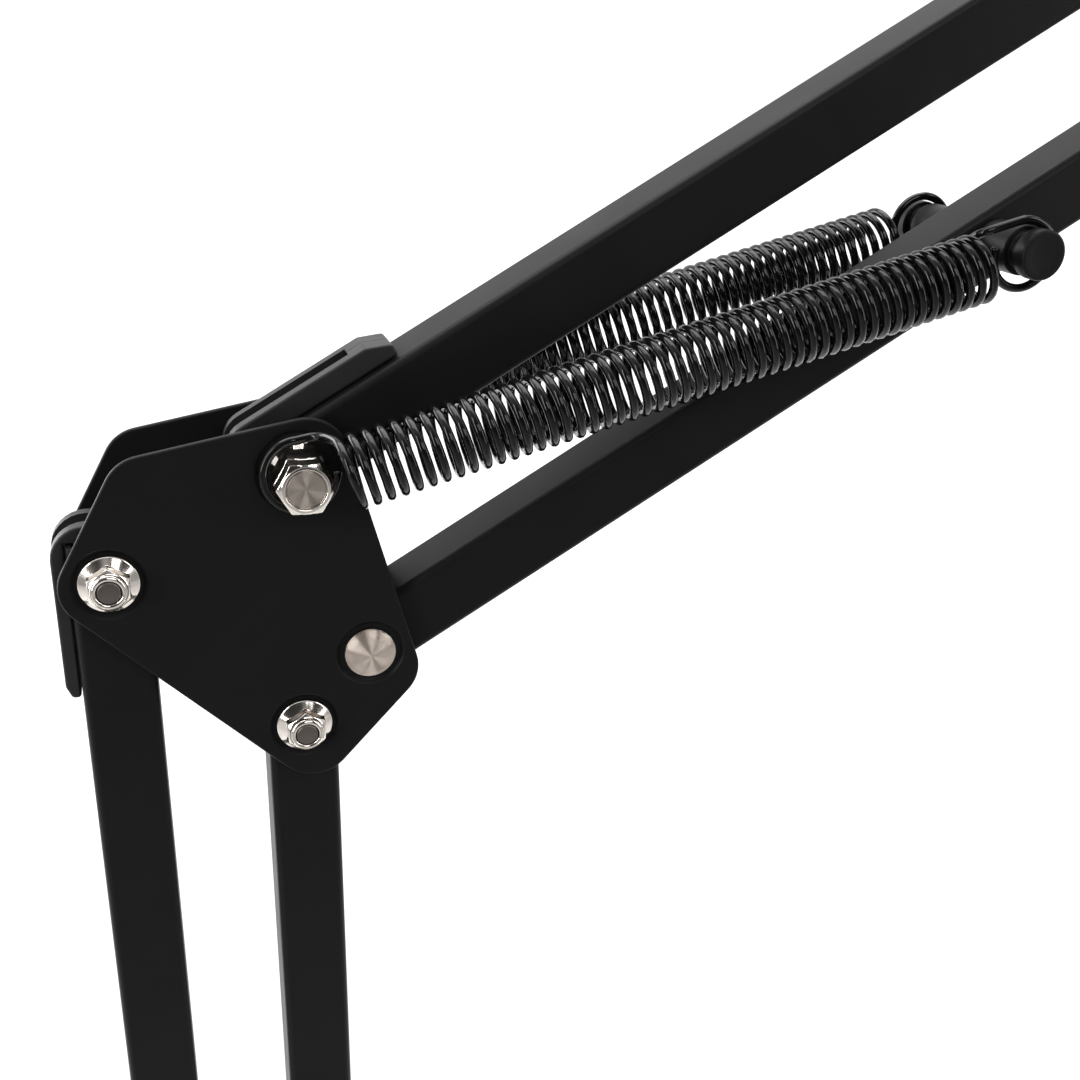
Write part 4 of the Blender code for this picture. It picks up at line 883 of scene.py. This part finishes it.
# The balance springs: a pair beside each arm, wound from 1.9 mm wire with open curls and a gloss
# black coat. One end is a loop on the spring bolt, the other a ring dropped in the post's groove.
wire = 0.00095
coil_radius, loop_radius, loop_stand = 0.0068, 0.0073, 0.0023
coil_start, coil_end = 0.0083, spring_length - 0.0119
curls, curl_points = 50, 14
ring_centre = spring_length - (loop_radius * math.cos(math.pi / 10) - wire - post_groove - 0.0003)
gloss_black, tree, shader = paint("gloss_spring_black", "black_spring_wire",
                                  (0.004, 0.004, 0.0042), 0, 0.13)
tuned(shader, Specular_IOR_Level=0.3)
drifting(tree, shader, speckle(tree, 0.004, 3), (0.003, 0.003, 0.0031), (0.0055, 0.0055, 0.0057),
         0.07, 0.14)
relief(tree, shader, speckle(tree, 0.0012, 2), 0.000006)


def round_loop(centre, stand, start, sweep, steps):
    """Points round a loop that lies flat beside the bar, from a start by steps of a sweep."""
    turns = [math.radians(start + step * sweep) for step in range(steps)]
    return [(centre + loop_radius * math.cos(turn), stand, loop_radius * math.sin(turn))
            for turn in turns]


def spring_path():
    """The loop on the bolt, the curls and the ring round the post, as close control points."""
    points = round_loop(0, loop_stand, 14, 12.2, 23)
    points += [(0.0043, loop_stand + 0.0003, -0.0070), (0.0062, loop_stand + 0.0016, -0.0069),
               (0.0074, loop_stand + 0.0041, -0.0069)]
    count = curls * curl_points - 2
    for step in range(count + 1):
        turn = 2 * math.pi * step / curl_points
        place = coil_start + (coil_end - coil_start) * step / count
        points.append((place, spring_stand + coil_radius * math.sin(turn),
                       -coil_radius * math.cos(turn)))
    points += [(coil_end + 0.0006, spring_stand - 0.0015, -0.0067),
               (coil_end + 0.0017, spring_stand, -loop_radius),
               (coil_end + 0.0050, spring_stand, -loop_radius)]
    points += round_loop(ring_centre, spring_stand, -90, 12.3, 25)
    return [Vector(point) for point in points]


def smoothed(points):
    """The points with one more between each two, on a curve through them."""
    fine = []
    for i in range(len(points) - 1):
        before, here, after = points[max(i - 1, 0)], points[i], points[i + 1]
        beyond = points[min(i + 2, len(points) - 1)]
        fine += [here, (here + after) * 0.5625 - (before + beyond) * 0.0625]
    return fine + [points[-1]]


def wire_shape(points, radius):
    """A round wire of ten sides through the points, its frame carried along without twist."""
    rings = []
    across = Vector((0, 1, 0))
    last = len(points) - 1
    turns = [2 * math.pi * side / 10 for side in range(10)]
    for i, here in enumerate(points):
        way = (points[min(i + 1, last)] - points[max(i - 1, 0)]).normalized()
        across = (across - way * across.dot(way)).normalized()
        other = way.cross(across)
        ring = [here + (across * math.cos(turn) + other * math.sin(turn)) * radius
                for turn in turns]
        if i in (0, last):
            cut = way * (radius * (-0.35 if i == 0 else 0.35))
            blunt = [here + cut + (point - here) * 0.7 for point in ring]
            rings += [blunt, ring] if i == 0 else [ring, blunt]
        else:
            rings.append(ring)
    return skinned(rings)


def balance_spring(prefix, label, side, bolt_at, post_at):
    """One spring from its bolt to its post, drawn fixed in place. The real spring stretches as the
    arm moves.
    """
    way = (post_at - bolt_at).normalized()
    out = Vector((0, side, 0))
    place = along(bolt_at + out * plate_out, way, out)
    piece = stood(f"{prefix}_spring_{label}", wire_shape(smoothed(spring_path()), wire))
    piece.data.materials.append(gloss_black)
    piece.data.shade_smooth()
    piece.matrix_world = place
    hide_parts(f"{prefix}_spring_coil_{label}", f"{prefix}_spring_hook_{label}")
    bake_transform(piece)


for label, side in both_sides:
    balance_spring("lower", label, side, base_left, lower_post)
    balance_spring("upper", label, side, elbow_top, upper_post)

# The elbow: two pressed plates join the lower pair of bars to the upper pair. Three pivots are
# bolts with flanged nuts or the spring bolt, and the fourth is a rivet with a spun dome.
elbow_corners = [
    near(elbow_left, -0.01165, -0.00230),
    near(elbow_right, 0.00215, -0.01635),
    near(elbow_bottom, 0.01150, -0.00660),
    near(elbow_top, 0.00782, 0.01211),
    near(elbow_left, 0.00330, 0.02500),
]
elbow_holes = [(point, bolt_hole, nut_floor) for point in (elbow_left, elbow_right, elbow_bottom)]
elbow_holes.append((elbow_top, spring_bolt_hole, loop_floor))
spun_dome = bright_nickel("spun_rivet", (0.84, 0.73, 0.64), 0.42, ringed=0.0012, brushed=1.0)


def domed_rivet(name, pivot, body):
    """A low dome with a thin bright rim, spun over at both ends of its shank."""
    rim = seat + 0.0008
    end = []
    for step in range(10):
        share = step / 9
        end.append((0.0051 * share, rim + 0.0001 + 0.0013 * math.sqrt(1 - share ** 2.2)))
    end += [(0.0054, rim), (0.0054, seat + 0.0001), (0.0052, seat), (0.0025, seat)]
    fit(name, lathed(both_ends(end), 80), facing(pivot, -1), spun_dome, body, name)


for label, side in both_sides:
    pressed_plate(f"elbow_plate_{label}", elbow_corners, elbow_holes, side, "elbow")
pivot_bolt("elbow_bolt_left", "elbow_nut_left", elbow_left, "elbow")
pivot_bolt("elbow_bolt_right", "elbow_nut_right", elbow_right, "elbow")
domed_rivet("elbow_rivet", elbow_bottom, "elbow")
spring_bolt("elbow", elbow_top)

# The head: a smaller pair of plates is riveted to the upper bars, and keeps the microphone level.
# A 6 mm bolt with a hexagon head behind and a lobed knob in front nips the tilting tongue.
tilt = pivots["mic_tilt"]
head_corners = [
    near(head_bottom, -0.0105, -0.0035),
    near(head_bottom, 0.0050, -0.0125),
    near(tilt, 0.0125, -0.0060),
    near(tilt, 0.0085, 0.0115),
    near(head_top, 0.0025, 0.01248),
    near(head_top, -0.0120, 0.0035),
]
head_holes = [(head_top, bolt_hole, nut_floor), (head_bottom, bolt_hole, nut_floor),
              (tilt, spring_bolt_hole, loop_floor)]
for label, side in both_sides:
    pressed_plate(f"head_plate_{label}", head_corners, head_holes, side, "head")
domed_rivet("head_rivet_top", head_top, "head")
domed_rivet("head_rivet_bottom", head_bottom, "head")
bolt_head("tilt_bolt", facing(tilt, 1), spring_flats, seat, 0.0035, spring_shank, -0.0165,
          "head", "tilt_bolt")
tilt_grip = knob_shape(0.0135, 0.011, seat + 0.0003, spring_bolt_hole)
fit("tilt_knob", tilt_grip, facing(tilt, -1), nylon, "tilt_knob", "tilt_knob")

# The tilting tongue and its stud: a plated steel tongue turns between the head plates. It ends in
# a flanged 3/8 inch stud, which a 5/8 inch adapter screws on to, with a coin slot in its end.
tongue_wide, tongue_deep, eye_radius, tongue_end = 0.0075, 0.0065, 0.009, 0.026
flange_radius, flange_face, flange_top = 0.0108, 0.0263, 0.0293
stud_radius, stud_pitch, stud_root, stud_end = 0.00476, 0.0015875, 0.0285, 0.0433
adapter_radius, adapter_pitch, adapter_bore = 0.00794, 0.000941, 0.0051
adapter_foot, adapter_end, coin_half = 0.0296, 0.0406, 0.0008
mouth = math.asin(tongue_deep / eye_radius)
tongue_loop = []
for step in range(41):
    angle = mouth + (2 * math.pi - 2 * mouth) * step / 40
    tongue_loop.append((eye_radius * math.cos(angle), eye_radius * math.sin(angle), 0))
tongue_loop += [(tongue_end, -tongue_deep, 0.001), (tongue_end, tongue_deep, 0.001)]
tongue_loops = [eased(tongue_loop, 0, 4), ring_of(spring_bolt_bore, 0, 48)]
tongue_shape = moved(slab(tongue_loops, -tongue_wide, tongue_wide, 0.0007), flank)
level = along(tilt, Vector((1, 0, 0)))
fit("mic_tongue", tongue_shape, level, turned_nickel, "tongue", "mic_tongue")
outwards = level @ Matrix.Rotation(math.pi / 2, 4, "Y")
stud_flange = turned([(0, flange_top), (flange_radius, flange_top), (flange_radius, flange_face),
                      (0, flange_face)], 0.0006, 96)
fit("mic_stud_flange", stud_flange, outwards, turned_nickel, "tongue", "mic_stud")
stud_thread = screw_shape(stud_radius, stud_pitch, 0.0008, stud_root, stud_end)
fit("mic_stud", stud_thread, outwards, thread_steel, "tongue")
adapter_thread = thread_rows(adapter_radius, adapter_pitch, 0.00045, adapter_foot, adapter_end, 72)
adapter_bored = circles(((0.0055, adapter_end), (adapter_bore, 0.0402)), steps=72)
adapter_rings = [ring_of(adapter_bore, adapter_foot, 72), *adapter_thread, *adapter_bored]
coin_slot = slab([box(0.009, coin_half)], 0.0388, 0.042, 0)
adapter_shape = drilled(skinned(adapter_rings, looped=True), [coin_slot])
fit("thread_adapter", adapter_shape, outwards, thread_steel, "tongue", "thread_adapter")

# The studio's floor: a pale sheet just below the clamp that runs out of sight. It keeps the stand's
# soft shadow, is white to the camera from a short way off, and shows pale in the bright metal.
floor_height, floor_half = -0.1087, 9
floor_shape = bpy.data.meshes.new("floor")
floor_corners = [(x, y, 0) for x, y in box(floor_half, floor_half)]
floor_shape.from_pydata(floor_corners, [], [(0, 1, 2, 3)])
floor = stood("floor", floor_shape)
floor.location = (0, 0, floor_height)


def reckoned(tree, operation, one, other):
    """One value reckoned from two others."""
    step = tree.nodes.new("ShaderNodeMath")
    step.operation = operation
    tree.links.new(one, step.inputs[0])
    tree.links.new(other, step.inputs[1])
    return step.outputs["Value"]


pale = bpy.data.materials.new("pale_floor")
pale.use_nodes = True
tree = pale.node_tree
ray = tree.nodes.new("ShaderNodeLightPath")
shader = tuned(tree.nodes["Principled BSDF"],
               Base_Color=(0.3, 0.3, 0.3, 1), Emission_Color=(1, 1, 1, 1))
tree.links.new(spread(tree, speckle(tree, 0.05, 3), 0.5, 0.6), shader.inputs["Roughness"])
place = tree.nodes.new("ShaderNodeTexCoord")
away = tree.nodes.new("ShaderNodeVectorMath")
away.operation = "LENGTH"
tree.links.new(place.outputs["Object"], away.inputs[0])
axes = tree.nodes.new("ShaderNodeSeparateXYZ")
tree.links.new(place.outputs["Object"], axes.inputs["Vector"])
seen = reckoned(tree, "MAXIMUM", ray.outputs["Is Camera Ray"], ray.outputs["Is Transmission Ray"])
far_white = spread(tree, away.outputs["Value"], 0.5, 1.0, 0.35, 1.3)
behind_white = spread(tree, axes.outputs["Y"], 0.0, 0.8, -0.5, 0.15)
seen_glow = reckoned(tree, "MULTIPLY", seen, far_white)
mirrored_glow = reckoned(tree, "MULTIPLY", behind_white, ray.outputs["Is Glossy Ray"])
glow = reckoned(tree, "MAXIMUM", seen_glow, mirrored_glow)
tree.links.new(glow, shader.inputs["Emission Strength"])
floor_shape.materials.append(pale)

# The surround: white to the camera from every side. It lights the stand from behind and leaves the
# front dim, so that black paint stays black and the nickel has dark and bright to mirror.
world = bpy.data.worlds.new("studio")
world.use_nodes = True
bpy.context.scene.world = world
tree = world.node_tree
ray = tree.nodes.new("ShaderNodeLightPath")
surround = tuned(tree.nodes["Background"], Color=(1, 1, 1, 1))
place = tree.nodes.new("ShaderNodeTexCoord")
axes = tree.nodes.new("ShaderNodeSeparateXYZ")
tree.links.new(place.outputs["Generated"], axes.inputs["Vector"])
behind_bright = spread(tree, axes.outputs["Y"], 0.03, 1.15, -0.68, 0.0)
strength = reckoned(tree, "MAXIMUM", behind_bright, ray.outputs["Is Camera Ray"])
tree.links.new(strength, surround.inputs["Strength"])

# The lamps: soft boxes above, in front, at both sides and behind. The tall strips at the sides
# draw the long bright lines in the bolt heads and along the springs.


def lamp(name, place, target, size, watts):
    """A soft box of a width and height in metres, turned to face its target."""
    light = bpy.data.lights.new(name, "AREA")
    light.shape = "RECTANGLE"
    light.size, light.size_y = size
    light.energy = watts
    holder = stood(name, light)
    holder.location = place
    holder.rotation_mode = "QUATERNION"
    holder.rotation_quaternion = (Vector(target) - Vector(place)).to_track_quat("-Z", "Y")


lamp("overhead", (0.1, 0.4, 1.7), (0.1, 0, 0.4), (1.6, 1.0), 20)
lamp("front_box", (0.45, -1.7, 1.6), (0, 0, 0.45), (1.1, 0.7), 10)
lamp("left_strip", (-1.45, -0.85, 0.95), (0, 0, 0.45), (0.3, 1.5), 16)
lamp("right_strip", (1.5, -0.9, 0.95), (0, 0, 0.45), (0.3, 1.5), 8)
lamp("rear_window", (-1.3, 1.2, 0.6), (0, 0, 0.45), (1.2, 1.5), 30)

# The camera: at the photograph's place and angle, close to the elbow, from the left front and a
# little above.
eye = Vector((-0.008165, -0.25189, 0.54853))
look = Vector((0.28603, 0.88175, -0.37510))
right = Vector((0.95409, -0.29838, 0.02613))
over = Vector((0.08889, 0.36535, 0.92662))
lens = bpy.data.cameras.new("photograph")
lens.lens = 42.38
lens.sensor_width = 36
lens.clip_start = 0.01
camera = stood("photograph", lens)
camera.matrix_world = Matrix.Translation(eye) @ Matrix((right, over, -look)).transposed().to_4x4()
bpy.context.scene.camera = camera
bpy.context.scene.view_settings.view_transform = "Standard"
